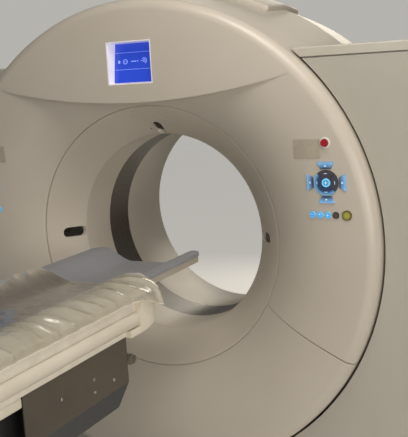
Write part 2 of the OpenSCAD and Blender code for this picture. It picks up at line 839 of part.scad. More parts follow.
module slip_ring() {
    inner = hub_r + 20 + fit;
    pitch = slip_w/6;
    color("goldenrod") around_bore() difference() {
        union() {
            translate([inner, slip_y]) square([slip_r - inner, slip_w]);
            translate([inner, disc_back + fit]) square([40, slip_y - disc_back]);
        }
        for (i = [1:5]) translate([slip_r - 5, slip_y + pitch*i - 1.5]) square([8, 3]);
    }
}

// Oil-filled tube housing, its axis along the bore, with end bells and the port over the collimator
module xray_tube() {
    z = focus_r + 60;
    color("gainsboro") difference() {
        union() {
            translate([0, disc_y - 320, iso_h + z]) rotate([-90, 0, 0]) {
                translate([0, 0, 20]) cylinder(r = tube_r, h = 280);
                cylinder(r = tube_r - 18, h = 21);
                translate([0, 0, 299]) cylinder(r = tube_r - 18, h = 21);
                for (h = [60, 160, 240]) translate([0, 0, h]) cylinder(r = tube_r + 5, h = 14);
            }
            block([-70, disc_y - 260, z - tube_r - 8], [70, disc_y - 20, z - tube_r/2]);
            block([-tube_r - 6, disc_y - 60, z - 50], [tube_r + 6, disc_y, z + 50]);
        }
        translate([0, 0, iso_h + z - tube_r - 20]) cylinder(r = 40, h = 50);
    }
}

module collimator() {
    z = 478;
    color("darkgray") difference() {
        union() {
            block([-125, -70, z], [125, 70, z + 62]);
            block([-100, 69, z + 8], [100, disc_y, z + 54]);
            mirrored() block([124, -40, z + 12], [150, 40, z + 50]);
        }
        block([-95, -9, z - 5], [95, 9, z + 70]);
    }
}

// Detector arc, centred on the focal spot, with its row of modules and cooling fins
module detector() {
    n = 32;
    step = 2*fan_angle/n;
    color("lightgray") translate([0, 0, iso_h + focus_r]) rotate([0, 90 - fan_angle, 0]) rotate([-90, 0, 0]) {
        rotate_extrude(angle = 2*fan_angle, $fn = 180) {
            translate([detector_d + 12, -62]) square([34, 124]);
            translate([detector_d + 16, 61]) square([24, disc_y - 61]);
        }
        for (i = [0:n - 1]) rotate(step*(i + 0.5)) {
            translate([detector_d, -12, -48]) cube([14, 24, 96]);
        }
    }
}

module generator() {
    color("silver") {
        difference() {
            block([-unit_out, disc_y - unit_l, -unit_w/2], [-unit_in, disc_y, unit_w/2]);
            for (i = [0:5]) block([-unit_out - 2, disc_y - unit_l + 30, -unit_w/2 + 28 + 44*i],
                [-unit_out + 10, disc_y - 40, -unit_w/2 + 52 + 44*i]);
        }
        translate([-(unit_in + unit_out)/2, disc_y - unit_l + 1, iso_h]) rotate([90, 0, 0])
            cylinder(r = 34, h = 26);
    }
}

module heat_exchanger() {
    color("lightsteelblue") {
        block([unit_in, disc_y - 40, -unit_w/2], [unit_out, disc_y, unit_w/2]);
        for (x = [unit_in, unit_out - tank_w])
            block([x, disc_y - cooler_l, -unit_w/2], [x + tank_w, disc_y - 39, unit_w/2]);
        for (i = [0:13]) block([unit_in + tank_w - 1, disc_y - cooler_l + 8, -unit_w/2 + 10 + fin_pitch*i],
            [unit_out - tank_w + 1, disc_y - 39, -unit_w/2 + 16 + fin_pitch*i]);
    }
}

module rotate_at_iso(a) {
    translate([0, 0, iso_h]) rotate([0, -a, 0]) translate([0, 0, -iso_h]) children();
}

// Welded foot on the floor, tied to the gantry's front cross beam
module table_foot() {
    y0 = -base_front - foot_edge;
    y1 = -base_back + foot_edge;
    bore_w = sleeve_w - 2*sleeve_t;
    tie_w = 180;
    tie_t = 24;
    color("dimgray") difference() {
        union() {
            translate([-base_w/2 - foot_edge, y1 - 2*foot_edge, 0])
                cube([base_w + 2*foot_edge, y0 - y1 + 4*foot_edge, foot_h]);
            translate([-tie_w/2, y0 + foot_edge, 0])
                cube([tie_w, -anchor_span/2 - 40 - fit - y0 - foot_edge, tie_t]);
            for (y = column_y) translate([-sleeve_w/2, -y - sleeve_w/2, foot_h - 1])
                cube([sleeve_w, sleeve_w, sleeve_top - foot_h + 1]);
        }
        for (y = column_y) translate([-bore_w/2, -y - bore_w/2, foot_h]) cube([bore_w, bore_w, 500]);
        for (sx = [-1, 1], sy = [-1, 1]) translate([sx*(base_w/2 + 4), (y0 + y1)/2 + sy*foot_span/2, -1])
            cylinder(d = anchor_d - 4, h = foot_h + 2);
        translate([0, -screw_y, foot_h - screw_seat]) cylinder(d = screw_d + 1, h = 30);
    }
}

module rounded_plan(w, y0, y1, r) {
    translate([-w/2 + r, y0]) square([w - 2*r, y1 - y0]);
    translate([-w/2, y0 + r]) square([w, y1 - y0 - 2*r]);
    for (sx = [-1, 1], y = [y0 + r, y1 - r]) translate([sx*(w/2 - r), y]) circle(r, $fn = 48);
}

module base_cover() {
    color("antiquewhite") translate([0, 0, foot_h + fit]) linear_extrude(base_h - foot_h) difference() {
        rounded_plan(base_w, -base_back, -base_front, 50);
        rounded_plan(base_w - 2*base_t, -base_back + base_t, -base_front - base_t, 50 - base_t);
    }
}

module lift_cover() {
    g = base_t + lift_gap;
    round_r = 36;
    height = iso_h + frame_bottom - lift_bottom - fit;
    in = g + base_t;
    color("black") translate([0, 0, lift_bottom]) linear_extrude(height) difference() {
        rounded_plan(base_w - 2*g, -base_back + g, -base_front - g, round_r);
        rounded_plan(base_w - 2*in, -base_back + in, -base_front - in, round_r - base_t);
    }
}

// Inner tubes of the telescopic columns, their cross plate and the nut of the lift screw
module lift_columns() {
    top = iso_h + frame_bottom - fit;
    w = column_w;
    bore = w - 2*column_wall;
    flange_l = 30;
    bar_w = 80;
    color("silver") difference() {
        union() {
            for (y = column_y) {
                translate([-w/2, -y - w/2, column_bottom]) cube([w, w, top - column_bottom]);
                translate([-w/2 - column_flange, -y - w/2 - flange_l, top - flange_t])
                    cube([w + 2*column_flange, w + 2*flange_l, flange_t]);
            }
            translate([-bar_w/2, -column_y[1], nut_z]) cube([bar_w, column_y[1] - column_y[0], nut_t]);
            translate([0, -screw_y, nut_z - nut_t]) cylinder(r = nut_r, h = nut_t + 1);
        }
        for (y = column_y) translate([-bore/2, -y - bore/2, column_bottom - 1])
            cube([bore, bore, top - column_bottom - flange_t - column_wall + 1]);
        translate([0, -screw_y, nut_z - nut_t - 1]) cylinder(d = screw_d + 1, h = 2*nut_t + 2);
    }
}

module lift_screw() {
    color("silver") translate([0, -screw_y, foot_h - screw_seat + fit]) cylinder(d = screw_d, h = screw_l);
}

// Motor and worm gearbox of the lift screw
module lift_motor() {
    box = 110;
    gear_h = 90;
    axis_z = foot_h + 50;
    body_l = 120;
    color("darkslategray") difference() {
        union() {
            translate([-box/2, -screw_y - box/2, foot_h + fit]) cube([box, box, gear_h]);
            translate([box/2 - 1, -screw_y, axis_z]) rotate([0, 90, 0]) cylinder(r = 42, h = body_l);
            translate([box/2 + body_l - 2, -screw_y, axis_z]) rotate([0, 90, 0]) cylinder(r = 34, h = 20);
        }
        translate([0, -screw_y, foot_h - 1]) cylinder(d = screw_d + 1, h = gear_h + 30);
    }
}

// Open trough beam of folded sheet that the tabletop runs in
module table_frame() {
    w = frame_w/2;
    lip = 22;
    color("antiquewhite") {
        along_y(-frame_back, -frame_d - cap_l) polygon([[-w, frame_top], [-w, frame_bottom], [w, frame_bottom],
            [w, frame_top], [w - lip, frame_top], [w - lip, frame_top - 6], [w - frame_t, frame_top - 6],
            [w - frame_t, frame_floor], [-w + frame_t, frame_floor], [-w + frame_t, frame_top - 6],
            [-w + lip, frame_top - 6], [-w + lip, frame_top]]);
        mirrored() block([guide_x, -frame_back + 10, frame_floor - eps],
            [guide_x + guide_w, -frame_d - cap_l, frame_floor + guide_h]);
        block([-w + 1, -frame_back, frame_bottom + 1],
            [w - 1, -frame_back + frame_t, pad_z(0) - pad_t - cradle_t - 6]);
    }
}

// Moulded cap on the front of the frame: rounded corners, a round nose and a lip under the rails' ends
module front_end_cap() {
    back = -frame_d - cap_l;
    nose_z = -101;
    module solid_cap(d) {
        rear = d > 0 ? back + cap_t : back + fit;
        intersection() {
            translate([0, 0, iso_h + frame_bottom - 20]) linear_extrude(frame_h + 60)
                rounded_plan(cap_w - 2*d, back - 200, -frame_d - d, cap_round - d);
            translate([-cap_w, 0, iso_h]) rotate([90, 0, 90]) linear_extrude(2*cap_w)
                polygon(concat([[rear, frame_bottom + d], [rear, cap_top - d]],
                    [for (a = steps(0, -90, 8)) [-frame_d - cap_nose + (cap_nose - d)*cos(a),
                        nose_z + (nose_z - frame_bottom - d)*sin(a)]]));
        }
    }
    color("linen") {
        difference() {
            solid_cap(0);
            solid_cap(cap_t);
            block([-open_w, back + cap_t - eps, frame_top - 60], [open_w, -frame_d + 20, frame_top + 20]);
            block([-open_w, back - 1, frame_bottom + 12], [open_w, back + cap_t + 1, frame_top + 20]);
        }
        mirrored() block([frame_w/2 + fit, -skirt_front + fit, frame_bottom],
            [cap_w/2, back + fit + 1, rail_z - rail_h/2 - fit]);
    }
}

// Round accessory rail on each side, one extrusion with its web
module side_rails() {
    x0 = frame_w/2 + fit;
    color("ivory") mirrored() along_y(-frame_back + 40, -frame_d - cap_l) intersection() {
        translate([x0 + rail_out - rail_round, rail_z]) circle(rail_round);
        translate([x0, rail_z - rail_h/2]) square([2*rail_out, rail_h]);
    }
}

// Skirt plates: flat side and a steep fold under it, chamfered in front, with a tube between them
module skirt_plates() {
    x = frame_w/2 - skirt_t;
    top = frame_bottom - fit;
    low = top - skirt_h;
    bottom = low - fold_h;
    y1 = -skirt_front;
    y0 = y1 - skirt_l;
    tube_y = y1 + 20;
    tab_x = x - 44;
    color("dimgray") {
        mirrored() {
            difference() {
                along_y(y0, y1) polygon([[x + skirt_t - skirt_flange, top - skirt_t],
                    [x + skirt_t - skirt_flange, top], [x + skirt_t, top], [x + skirt_t, low],
                    [x + skirt_t - fold_in, bottom], [x - fold_in, bottom], [x, low], [x, top - skirt_t]]);
                translate([x - 80, 0, iso_h]) rotate([90, 0, 90]) linear_extrude(100)
                    polygon([[y1 + 1, low + 1], [y1 + 1, bottom - 1], [y1 - fold_chamfer, bottom - 1]]);
            }
            block([tab_x, y1 - 40, top - skirt_t - 90], [tab_x + skirt_t, tube_y, top - skirt_t + eps]);
        }
        translate([-tab_x, tube_y, iso_h + top - skirt_t - 72]) rotate([0, 90, 0])
            cylinder(r = tube_cross_r, h = 2*tab_x);
    }
}

// Profile across the cradle or pad between two depths under the pad's surface
module trough_band(d0, d1, half) {
    xs = steps(-half, half, 36);
    polygon(concat([for (x = xs) [x, pad_z(x) - d0]], [for (x = reversed(xs)) [x, pad_z(x) - d1]]));
}

module top_plan(w, y0, y1, r) {
    translate([0, 0, iso_h - 300]) linear_extrude(400) rounded_plan(w, y0, y1, r);
}

// Carbon cradle with its carriage under the rear end
module tabletop() {
    y1 = -top_tip_d - 6;
    y0 = -top_tip_d - top_l;
    groove = 4;
    zc = pad_z(0) - pad_t - cradle_t;
    color("linen") {
        intersection() {
            along_y(y0, y1) {
                trough_band(pad_t + fit, pad_t + groove + 1, top_w/2 - 8);
                trough_band(pad_t + groove, pad_t + cradle_t, top_w/2 - 2);
            }
            top_plan(top_w - 4, y0, y1, 36);
        }
        block([-carriage_x, -carriage_back, frame_floor + guide_h + fit],
            [carriage_x, -carriage_back + carriage_l, zc + 2]);
    }
}

module table_pad() {
    color("lightslategray") intersection() {
        along_y(-top_tip_d - top_l + 4, -top_tip_d) trough_band(0, pad_t, top_w/2);
        top_plan(top_w, -top_tip_d - top_l + 4, -top_tip_d, 40);
    }
}

// Thin foam mattress on the pad, its sides rounded down beside the cradle
module mattress() {
    half = mattress_w/2;
    xs = steps(-half, half, 40);
    low = frame_top + 3;
    inner = top_w/2 + 2;
    color("rosybrown") along_y(-sheet_d - sheet_l + 2, -sheet_d - 2)
        polygon(concat([for (x = xs) [x, mattress_z(x)]],
            [[half, low], [inner, low], [inner, pad_z(inner) + fit]],
            [for (x = steps(inner - 4, 4 - inner, 36)) [x, pad_z(x) + fit]],
            [[-inner, pad_z(inner) + fit], [-inner, low], [-half, low]]));
}

// Clear sheet over the mattress, hanging down both sides
module vinyl_sheet() {
    half = mattress_w/2 + fit;
    xs = steps(-mattress_w/2, mattress_w/2, 40);
    color("darkkhaki") along_y(-sheet_d - sheet_l, -sheet_d) polygon(concat([[-half - sheet_t, -sheet_hem]],
        [[-half - sheet_t, mattress_z(half)]], [for (x = xs) [x, mattress_z(x) + fit + sheet_t]],
        [[half + sheet_t, mattress_z(half)], [half + sheet_t, -sheet_hem], [half, -sheet_hem],
            [half, mattress_z(half)]],
        [for (x = reversed(xs)) [x, mattress_z(x) + fit]], [[-half, mattress_z(half)], [-half, -sheet_hem]]));
}

gantry_base();
stationary_frame();
bearing_outer_race();
drive_motor();
drive_pulley();
drive_belt();
brush_block();
rotor_frame();
bearing_inner_race();
xray_tube();
collimator();
detector();
generator();
heat_exchanger();
slip_ring();
front_cover();
lower_front_cover();
bore_funnel();
scan_window_ring();
rear_funnel();
rear_cover();
top_cover();
left_side_box();
right_side_box();
side_box_lids();
display_bezel();
display_screen();
laser_windows();
right_key_base();
left_key_base();
right_stop_button();
left_stop_button();
right_centre_key();
ring_key(0);  // right_ring_key_up
ring_key(1);  // right_ring_key_left
ring_key(2);  // right_ring_key_down
ring_key(3);  // right_ring_key_right
outer_key(0);  // right_outer_key_up
outer_key(1);  // right_outer_key_left
outer_key(2);  // right_outer_key_down
outer_key(3);  // right_outer_key_right
row_key(0);  // right_row_key_1
row_key(1);  // right_row_key_2
row_key(2);  // right_row_key_3
row_key(3);  // right_row_key_4
right_start_key();
table_foot();
base_cover();
lift_cover();
lift_columns();
lift_screw();
lift_motor();
table_frame();
front_end_cap();
side_rails();
skirt_plates();
tabletop();
table_pad();
mattress();
vinyl_sheet();
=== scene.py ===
# CT scanner: a ring-shaped gantry between two side boxes and its patient table.
# Metres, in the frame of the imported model: floor at Z 0, bore axis at height 1, +Y into the bore.
import math

import bmesh
import bpy
from mathutils import Matrix, Vector, noise


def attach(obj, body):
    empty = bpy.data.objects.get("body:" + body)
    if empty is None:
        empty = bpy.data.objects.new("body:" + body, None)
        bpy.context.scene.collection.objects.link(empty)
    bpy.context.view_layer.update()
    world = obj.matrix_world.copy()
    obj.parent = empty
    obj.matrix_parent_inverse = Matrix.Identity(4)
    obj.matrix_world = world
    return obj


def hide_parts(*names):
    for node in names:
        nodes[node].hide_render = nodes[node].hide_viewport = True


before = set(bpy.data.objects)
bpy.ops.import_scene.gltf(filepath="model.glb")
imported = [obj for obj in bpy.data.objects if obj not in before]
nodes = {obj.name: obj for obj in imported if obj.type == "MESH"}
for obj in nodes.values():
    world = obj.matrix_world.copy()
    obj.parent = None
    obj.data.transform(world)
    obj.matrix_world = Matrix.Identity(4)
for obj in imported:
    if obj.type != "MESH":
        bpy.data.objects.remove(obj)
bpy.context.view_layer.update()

# Camera: the viewing angle of the photograph, from the right of the table at eye height.
# Its focal length is in pixels of the photograph's 437-pixel height, which the 36 mm sensor spans.
EYE = (1.564, -3.1715, 1.587)
YAW, PITCH, ROLL = -25.899, -9.297, 3.344
FOCAL_PX = 850.9
LONG_SIDE_PX = 437


def aim(yaw, pitch, roll):
    """Rotation of a camera that looks along +Y, turned by yaw to the right, pitch upwards and roll."""
    turn = Matrix.Rotation(-math.radians(yaw), 4, "Z")
    tilt = Matrix.Rotation(math.pi / 2 + math.radians(pitch), 4, "X")
    return turn @ tilt @ Matrix.Rotation(-math.radians(roll), 4, "Z")


camera = bpy.data.objects.new("camera", bpy.data.cameras.new("camera"))
bpy.context.scene.collection.objects.link(camera)
camera.matrix_world = Matrix.Translation(EYE) @ aim(YAW, PITCH, ROLL)
camera.data.sensor_width = 36
camera.data.lens = FOCAL_PX / LONG_SIDE_PX * 36
camera.data.clip_end = 60
bpy.context.scene.camera = camera

# Studio: a plain pale floor and large soft lamps above and beside the machine.
# The floor runs into the pale world behind it, and gets its shade from the object alone.
FLOOR_GLOW, SKY, BACKDROP = 0.42, 0.17, 0.70


def colour(code):
    """Linear colour of an sRGB hex code."""
    parts = [int(code[i:i + 2], 16) / 255 for i in (1, 3, 5)]
    return tuple(p / 12.92 if p <= 0.04045 else ((p + 0.055) / 1.055) ** 2.4 for p in parts) + (1.0,)


def add(tree, kind, settings=None, **inputs):
    """Adds a shader node; inputs are named as its sockets, with _ for a space."""
    made = tree.nodes.new(kind)
    for key, value in (settings or {}).items():
        setattr(made, key, value)
    for key, value in inputs.items():
        socket = made.inputs[key.replace("_", " ")]
        if isinstance(value, bpy.types.NodeSocket):
            tree.links.new(value, socket)
        else:
            socket.default_value = value
    return made


def lamp(name, place, target, size, watts, tint):
    """Square soft lamp at a place, facing a target."""
    light = bpy.data.lights.new(name, "AREA")
    light.size = size
    light.energy = watts
    light.color = colour(tint)[:3]
    made = bpy.data.objects.new(name, light)
    bpy.context.scene.collection.objects.link(made)
    made.location = place
    made.rotation_euler = (Vector(target) - Vector(place)).to_track_quat("-Z", "Y").to_euler()


floor_mesh = bmesh.new()
bmesh.ops.create_grid(floor_mesh, x_segments=1, y_segments=1, size=14)
floor = bpy.data.objects.new("floor", bpy.data.meshes.new("floor"))
floor_mesh.to_mesh(floor.data)
floor_mesh.free()
bpy.context.scene.collection.objects.link(floor)
floor_paint = bpy.data.materials.new("floor_paint")
floor_paint.use_nodes = True
floor_tree = floor_paint.node_tree
floor_shader = floor_tree.nodes["Principled BSDF"]
floor_shader.inputs["Base Color"].default_value = colour("#eceae5")
floor_shader.inputs["Roughness"].default_value = 0.7
floor_seen = floor_tree.nodes.new("ShaderNodeLightPath").outputs["Is Camera Ray"]
floor_glow = add(floor_tree, "ShaderNodeMath", {"operation": "MULTIPLY"})
floor_tree.links.new(floor_seen, floor_glow.inputs[0])
floor_glow.inputs[1].default_value = FLOOR_GLOW
floor_shader.inputs["Emission Color"].default_value = colour("#e9e6e0")
floor_tree.links.new(floor_glow.outputs["Value"], floor_shader.inputs["Emission Strength"])
floor.data.materials.append(floor_paint)

world = bpy.data.worlds.new("studio")
world.use_nodes = True
bpy.context.scene.world = world
air = world.node_tree
sky = air.nodes["Background"]
sky.inputs["Color"].default_value = colour("#e9e7e2")
sky.inputs["Strength"].default_value = SKY
backdrop = add(air, "ShaderNodeBackground", Color=colour("#d4d2cc"), Strength=BACKDROP)
seen_by = air.nodes.new("ShaderNodeLightPath")
unlit = add(air, "ShaderNodeMath", {"operation": "MAXIMUM"})
choice = air.nodes.new("ShaderNodeMixShader")
air.links.new(seen_by.outputs["Is Camera Ray"], unlit.inputs[0])
air.links.new(seen_by.outputs["Is Transmission Ray"], unlit.inputs[1])
air.links.new(unlit.outputs["Value"], choice.inputs[0])
air.links.new(sky.outputs["Background"], choice.inputs[1])
air.links.new(backdrop.outputs["Background"], choice.inputs[2])
air.links.new(choice.outputs["Shader"], air.nodes["World Output"].inputs["Surface"])
lamp("ceiling_lamp", (1.2, -1.4, 3.4), (0.2, -0.4, 0.9), 1.3, 27, "#fff6ea")
lamp("strip_lamp", (0.5, -1.2, 3.0), (0.2, -1.3, 0.9), 0.7, 7, "#fff8f0")
lamp("right_lamp", (3.2, -2.5, 1.5), (0.6, -0.5, 0.9), 1.9, 40, "#fff8ef")
lamp("left_lamp", (-3.4, -3.2, 1.4), (0.0, -0.8, 0.6), 2.0, 2, "#f2f1ee")
lamp("front_lamp", (2.0, -5.2, 1.6), (0.35, -0.5, 0.4), 2.1, 28, "#fff6ea")
lamp("rear_lamp", (-0.5, 3.2, 2.05), (0.1, 0.2, 0.8), 1.8, 26, "#fff4e0")
bpy.context.scene.view_settings.view_transform = "Standard"

# Floor beams of the gantry: welded steel beams under the side boxes and two cross beams,
# anchored to the floor. They are shot-blasted and painted in a dark grey workshop paint.
# The paint shows a coarse, half-matt skin.


def finish(name, light, dark, roughness, cloud_mm=400, grain_mm=1.5, relief=0.05, metallic=0.0, edge_mm=0.0):
    """Skin whose colour and gloss wander slowly and which has a fine grain, both of a real size.

    An edge_mm over 0 rounds the sharp edges of the piece by so much in the shading.
    """
    material = bpy.data.materials.new(name)
    material.use_nodes = True
    tree = material.node_tree
    shader = tree.nodes["Principled BSDF"]
    place = tree.nodes.new("ShaderNodeTexCoord").outputs["Object"]
    clouds = add(tree, "ShaderNodeTexNoise", Vector=place, Scale=1000 / cloud_mm, Detail=5.0, Roughness=0.6)
    ramp = add(tree, "ShaderNodeValToRGB", Fac=clouds.outputs["Fac"])
    ramp.color_ramp.elements[0].position = 0.3
    ramp.color_ramp.elements[1].position = 0.7
    ramp.color_ramp.elements[0].color = colour(dark)
    ramp.color_ramp.elements[1].color = colour(light)
    wear = add(tree, "ShaderNodeTexNoise", Vector=place, Scale=3000 / cloud_mm, Detail=3.0, Roughness=0.5)
    gloss = add(tree, "ShaderNodeMapRange", Value=wear.outputs["Fac"], From_Min=0.3, From_Max=0.7,
                To_Min=max(roughness - 0.03, 0.02), To_Max=min(roughness + 0.04, 1.0))
    grain = add(tree, "ShaderNodeTexNoise", Vector=place, Scale=1000 / grain_mm, Detail=2.0)
    bump = add(tree, "ShaderNodeBump", Strength=relief, Distance=grain_mm / 3000, Height=grain.outputs["Fac"])
    tree.links.new(ramp.outputs["Color"], shader.inputs["Base Color"])
    tree.links.new(gloss.outputs["Result"], shader.inputs["Roughness"])
    tree.links.new(bump.outputs["Normal"], shader.inputs["Normal"])
    shader.inputs["Metallic"].default_value = metallic
    if edge_mm > 0:
        edge = add(tree, "ShaderNodeBevel", {"samples": 6}, Radius=edge_mm / 1000)
        tree.links.new(edge.outputs["Normal"], bump.inputs["Normal"])
    return material


def dress(material, *names):
    """Gives CAD nodes their finish."""
    for name in names:
        for place in nodes[name].material_slots:
            place.material = material


frame_paint = finish("workshop_paint", "#5b6064", "#4b5053", 0.5, grain_mm=2, relief=0.25)
dress(frame_paint, "gantry_base")

# Stationary frame with the fixed race of the main bearing: a casting, painted where it isn't machined.
# The races are ground bearing steel, so they mirror softly.
cast_paint = finish("cast_paint", "#7d868c", "#6d767c", 0.45, cloud_mm=250, grain_mm=3, relief=0.35)
race_steel = finish("race_steel", "#b9bcbf", "#a5a9ad", 0.22, cloud_mm=60, grain_mm=0.4, relief=0.04,
                    metallic=1.0)
dress(cast_paint, "stationary_frame")
dress(race_steel, "bearing_outer_race", "bearing_inner_race")

# Drive: motor on the stationary frame, turned steel pulley and a flat rubber belt round the rotor.
# The carbon brushes sit in a moulded insulating block at the foot of the frame.
# Enamel with a low shine, turned steel that mirrors softly, dull black rubber and brown moulded resin.
motor_paint = finish("motor_paint", "#3c4246", "#2f3538", 0.42, cloud_mm=120, grain_mm=1.5, relief=0.2)
pulley_steel = finish("pulley_steel", "#9a9da0", "#85888c", 0.3, cloud_mm=50, grain_mm=0.5, relief=0.05,
                      metallic=1.0)
belt_rubber = finish("belt_rubber", "#1d1e1f", "#131415", 0.75, cloud_mm=90, grain_mm=0.8, relief=0.3)
brush_plastic = finish("brush_plastic", "#6e4a2d", "#5a3a22", 0.5, cloud_mm=60, grain_mm=1, relief=0.1)
dress(motor_paint, "drive_motor", "lift_motor")
dress(pulley_steel, "drive_pulley")
dress(belt_rubber, "drive_belt")
dress(brush_plastic, "brush_block")

# Rotor: cast aluminium disc with hub and balance weights, and everything that turns round the patient.
# Tube housing in grey enamel, lead-lined sheet boxes, finned cooler and the slip ring with its brass tracks.
# Cast skin with a broad, grey mirror; glossier enamel; rolled sheet; polished brass with a warm mirror.
rotor_metal = finish("rotor_metal", "#a9afb5", "#959ba1", 0.38, cloud_mm=180, grain_mm=1.2, relief=0.15,
                     metallic=0.8)
tube_enamel = finish("tube_enamel", "#d5d6d3", "#c6c7c3", 0.35, cloud_mm=150, grain_mm=2, relief=0.1)
box_metal = finish("box_metal", "#a6a9ab", "#92969a", 0.4, cloud_mm=120, grain_mm=0.8, relief=0.1,
                   metallic=0.7)
ring_brass = finish("ring_brass", "#c39a4a", "#a9833a", 0.28, cloud_mm=80, grain_mm=0.5, relief=0.05,
                    metallic=1.0)
dress(rotor_metal, "rotor_frame", "heat_exchanger")
dress(tube_enamel, "xray_tube")
dress(box_metal, "collimator", "detector", "generator")
dress(ring_brass, "slip_ring")

# Front cover: one large glass-fibre moulding, sprayed in a warm pale grey with a soft gloss.
# It has the crest, the front half of the rim, the brow over the bore, and openings for display and keys.
AXIS_Z = 1.0
FACE_D, THROAT_D = 0.485, 0.262
FACE_R, THROAT_R, CREST_R, RIM_R = 0.840, 0.388, 0.045, 0.924
SEAM_R, SEAM_GAP, SPLIT_D, WALL = 0.500, 0.003, 0.090, 0.006
LOWER_ANGLE, BROW_START, BROW_SWEEP = 27, 25, 130
BROW_Z, BROW_R, BROW_OUT, BROW_LIP = 0.517, 2.5, 0.009, 0.003
DISPLAY_W, DISPLAY_H, DISPLAY_Z = 0.184, 0.154, 0.660
KEYS_X, KEYS_Z, ROW_Z, STOP_Z, KEY_GAP = 0.714, 0.226, 0.117, 0.358, 0.001
RING_KEY_R, STOP_R, START_R, ROW_KEY_R = 0.042, 0.012, 0.016, 0.011
START_X, ROW_START, ROW_PITCH = KEYS_X + 0.068, KEYS_X - 0.054, 0.028


def face_point(r, depth=0.0):
    """Radius and Y of the face and funnel curve at a radius, moved into the machine along its normal."""
    u = max(FACE_R - r, 0) / (FACE_R - THROAT_R)
    rise = FACE_D - THROAT_D
    slope = -rise * 2.9 / (FACE_R - THROAT_R) * u ** 1.9
    length = math.hypot(1, slope)
    return r - depth * slope / length, -(FACE_D - rise * u ** 2.9) + depth / length


def brow_point(r):
    """Radius and Y of the brow's skin."""
    u = (FACE_R - r) / (FACE_R - BROW_Z)
    return r, -FACE_D - BROW_OUT * u * (2.2 - 1.7 * u)


def spread(start, end, count):
    """Evenly spaced values, both ends included."""
    return [start + (end - start) * i / count for i in range(count + 1)]


def rounding(centre, radius, start, end, count=8):
    """Points of an arc about a centre, by angles in degrees."""
    return [(centre[0] + radius * math.cos(math.radians(a)), centre[1] + radius * math.sin(math.radians(a)))
            for a in spread(start, end, count)]


def turned(profile, start=0, sweep=360, steps=288):
    """Wall turned round the bore axis from a closed profile of radius and Y, from an angle off +X upwards."""
    wall = bmesh.new()
    loop = [wall.verts.new((r, y, AXIS_Z)) for r, y in profile]
    edges = [wall.edges.new((loop[i - 1], loop[i])) for i in range(len(loop))]
    axis = (0, -1, 0)
    centre = (0, 0, AXIS_Z)
    bmesh.ops.rotate(wall, verts=loop, cent=centre, matrix=Matrix.Rotation(-math.radians(start), 3, "Y"))
    bmesh.ops.spin(wall, geom=loop + edges, cent=centre, axis=axis, angle=math.radians(sweep),
                   steps=round(steps * sweep / 360), use_merge=sweep == 360)
    if sweep < 360:
        bmesh.ops.holes_fill(wall, edges=[e for e in wall.edges if e.is_boundary], sides=0)
    bmesh.ops.recalc_face_normals(wall, faces=wall.faces)
    return wall


def thick(body, reach):
    """Draws all faces of an open body out by a vector, so that it is closed."""
    grown = bmesh.ops.extrude_face_region(body, geom=list(body.faces))["geom"]
    bmesh.ops.translate(body, vec=reach, verts=[v for v in grown if isinstance(v, bmesh.types.BMVert)])
    bmesh.ops.recalc_face_normals(body, faces=body.faces)
    return body


def extruded(points, reach):
    """Closed body of a flat outline of points, drawn out by a vector."""
    body = bmesh.new()
    body.faces.new([body.verts.new(p) for p in points])
    return thick(body, reach)


def prism(outline, y_front, y_back):
    """Closed prism of an outline in x and height over the bore axis, from one Y to another."""
    return extruded([(x, y_front, AXIS_Z + z) for x, z in outline], (0, y_back - y_front, 0))


def placed(name, shape, body="root"):
    """Makes an object of a bmesh and lets it ride on a body."""
    mesh = bpy.data.meshes.new(name)
    shape.to_mesh(mesh)
    shape.free()
    piece = bpy.data.objects.new(name, mesh)
    bpy.context.scene.collection.objects.link(piece)
    if body:
        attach(piece, body)
    return piece


def carve(piece, shape, operation="DIFFERENCE"):
    """Cuts a bmesh out of a piece, or keeps what lies inside it."""
    tool = placed("carving_tool", shape, None)
    step = piece.modifiers.new("carve", "BOOLEAN")
    step.operation = operation
    step.solver = "EXACT"
    step.object = tool
    bpy.context.view_layer.update()
    ready = piece.evaluated_get(bpy.context.evaluated_depsgraph_get())
    carved = bpy.data.meshes.new_from_object(ready)
    piece.modifiers.clear()
    piece.data = carved
    bpy.data.objects.remove(tool)


def joined(*shapes):
    """One bmesh of several."""
    whole = bmesh.new()
    for shape in shapes:
        part = bpy.data.meshes.new("part")
        shape.to_mesh(part)
        shape.free()
        whole.from_mesh(part)
        bpy.data.meshes.remove(part)
    return whole


def smooth(piece, material, angle=32):
    """Shades a piece round, with an edge kept sharp past an angle, and gives it its finish."""
    piece.data.materials.clear()
    piece.data.materials.append(material)
    for polygon in piece.data.polygons:
        polygon.use_smooth = True
    piece.data.set_sharp_from_angle(angle=math.radians(angle))


def round_off(shape, edges, width, segments=3, clamp=True):
    """Rounds edges of a bmesh."""
    bmesh.ops.bevel(shape, geom=edges, offset=width, segments=segments, profile=0.5, affect="EDGES",
                    material=-1, clamp_overlap=clamp)


def soften(piece, width, chosen, segments=3):
    """Rounds the edges of a piece whose two ends are chosen."""
    shape = bmesh.new()
    shape.from_mesh(piece.data)
    rims = [e for e in shape.edges if all(chosen(v.co) for v in e.verts) and e.calc_face_angle(0) > 0.5]
    round_off(shape, rims, width, segments)
    shape.to_mesh(piece.data)
    shape.free()


def circle(x, z, radius, count=40):
    """Outline of a circle."""
    return [(x + radius * math.cos(2 * math.pi * i / count), z + radius * math.sin(2 * math.pi * i / count))
            for i in range(count)]


def rectangle(x0, x1, z0, z1):
    """Outline of a rectangle."""
    return [(x0, z0), (x1, z0), (x1, z1), (x0, z1)]


def turned_about(points, turn):
    """Outline about the key group's centre, turned by an angle."""
    c, s = math.cos(math.radians(turn)), math.sin(math.radians(turn))
    return [(KEYS_X + x * c - z * s, KEYS_Z + x * s + z * c) for x, z in points]


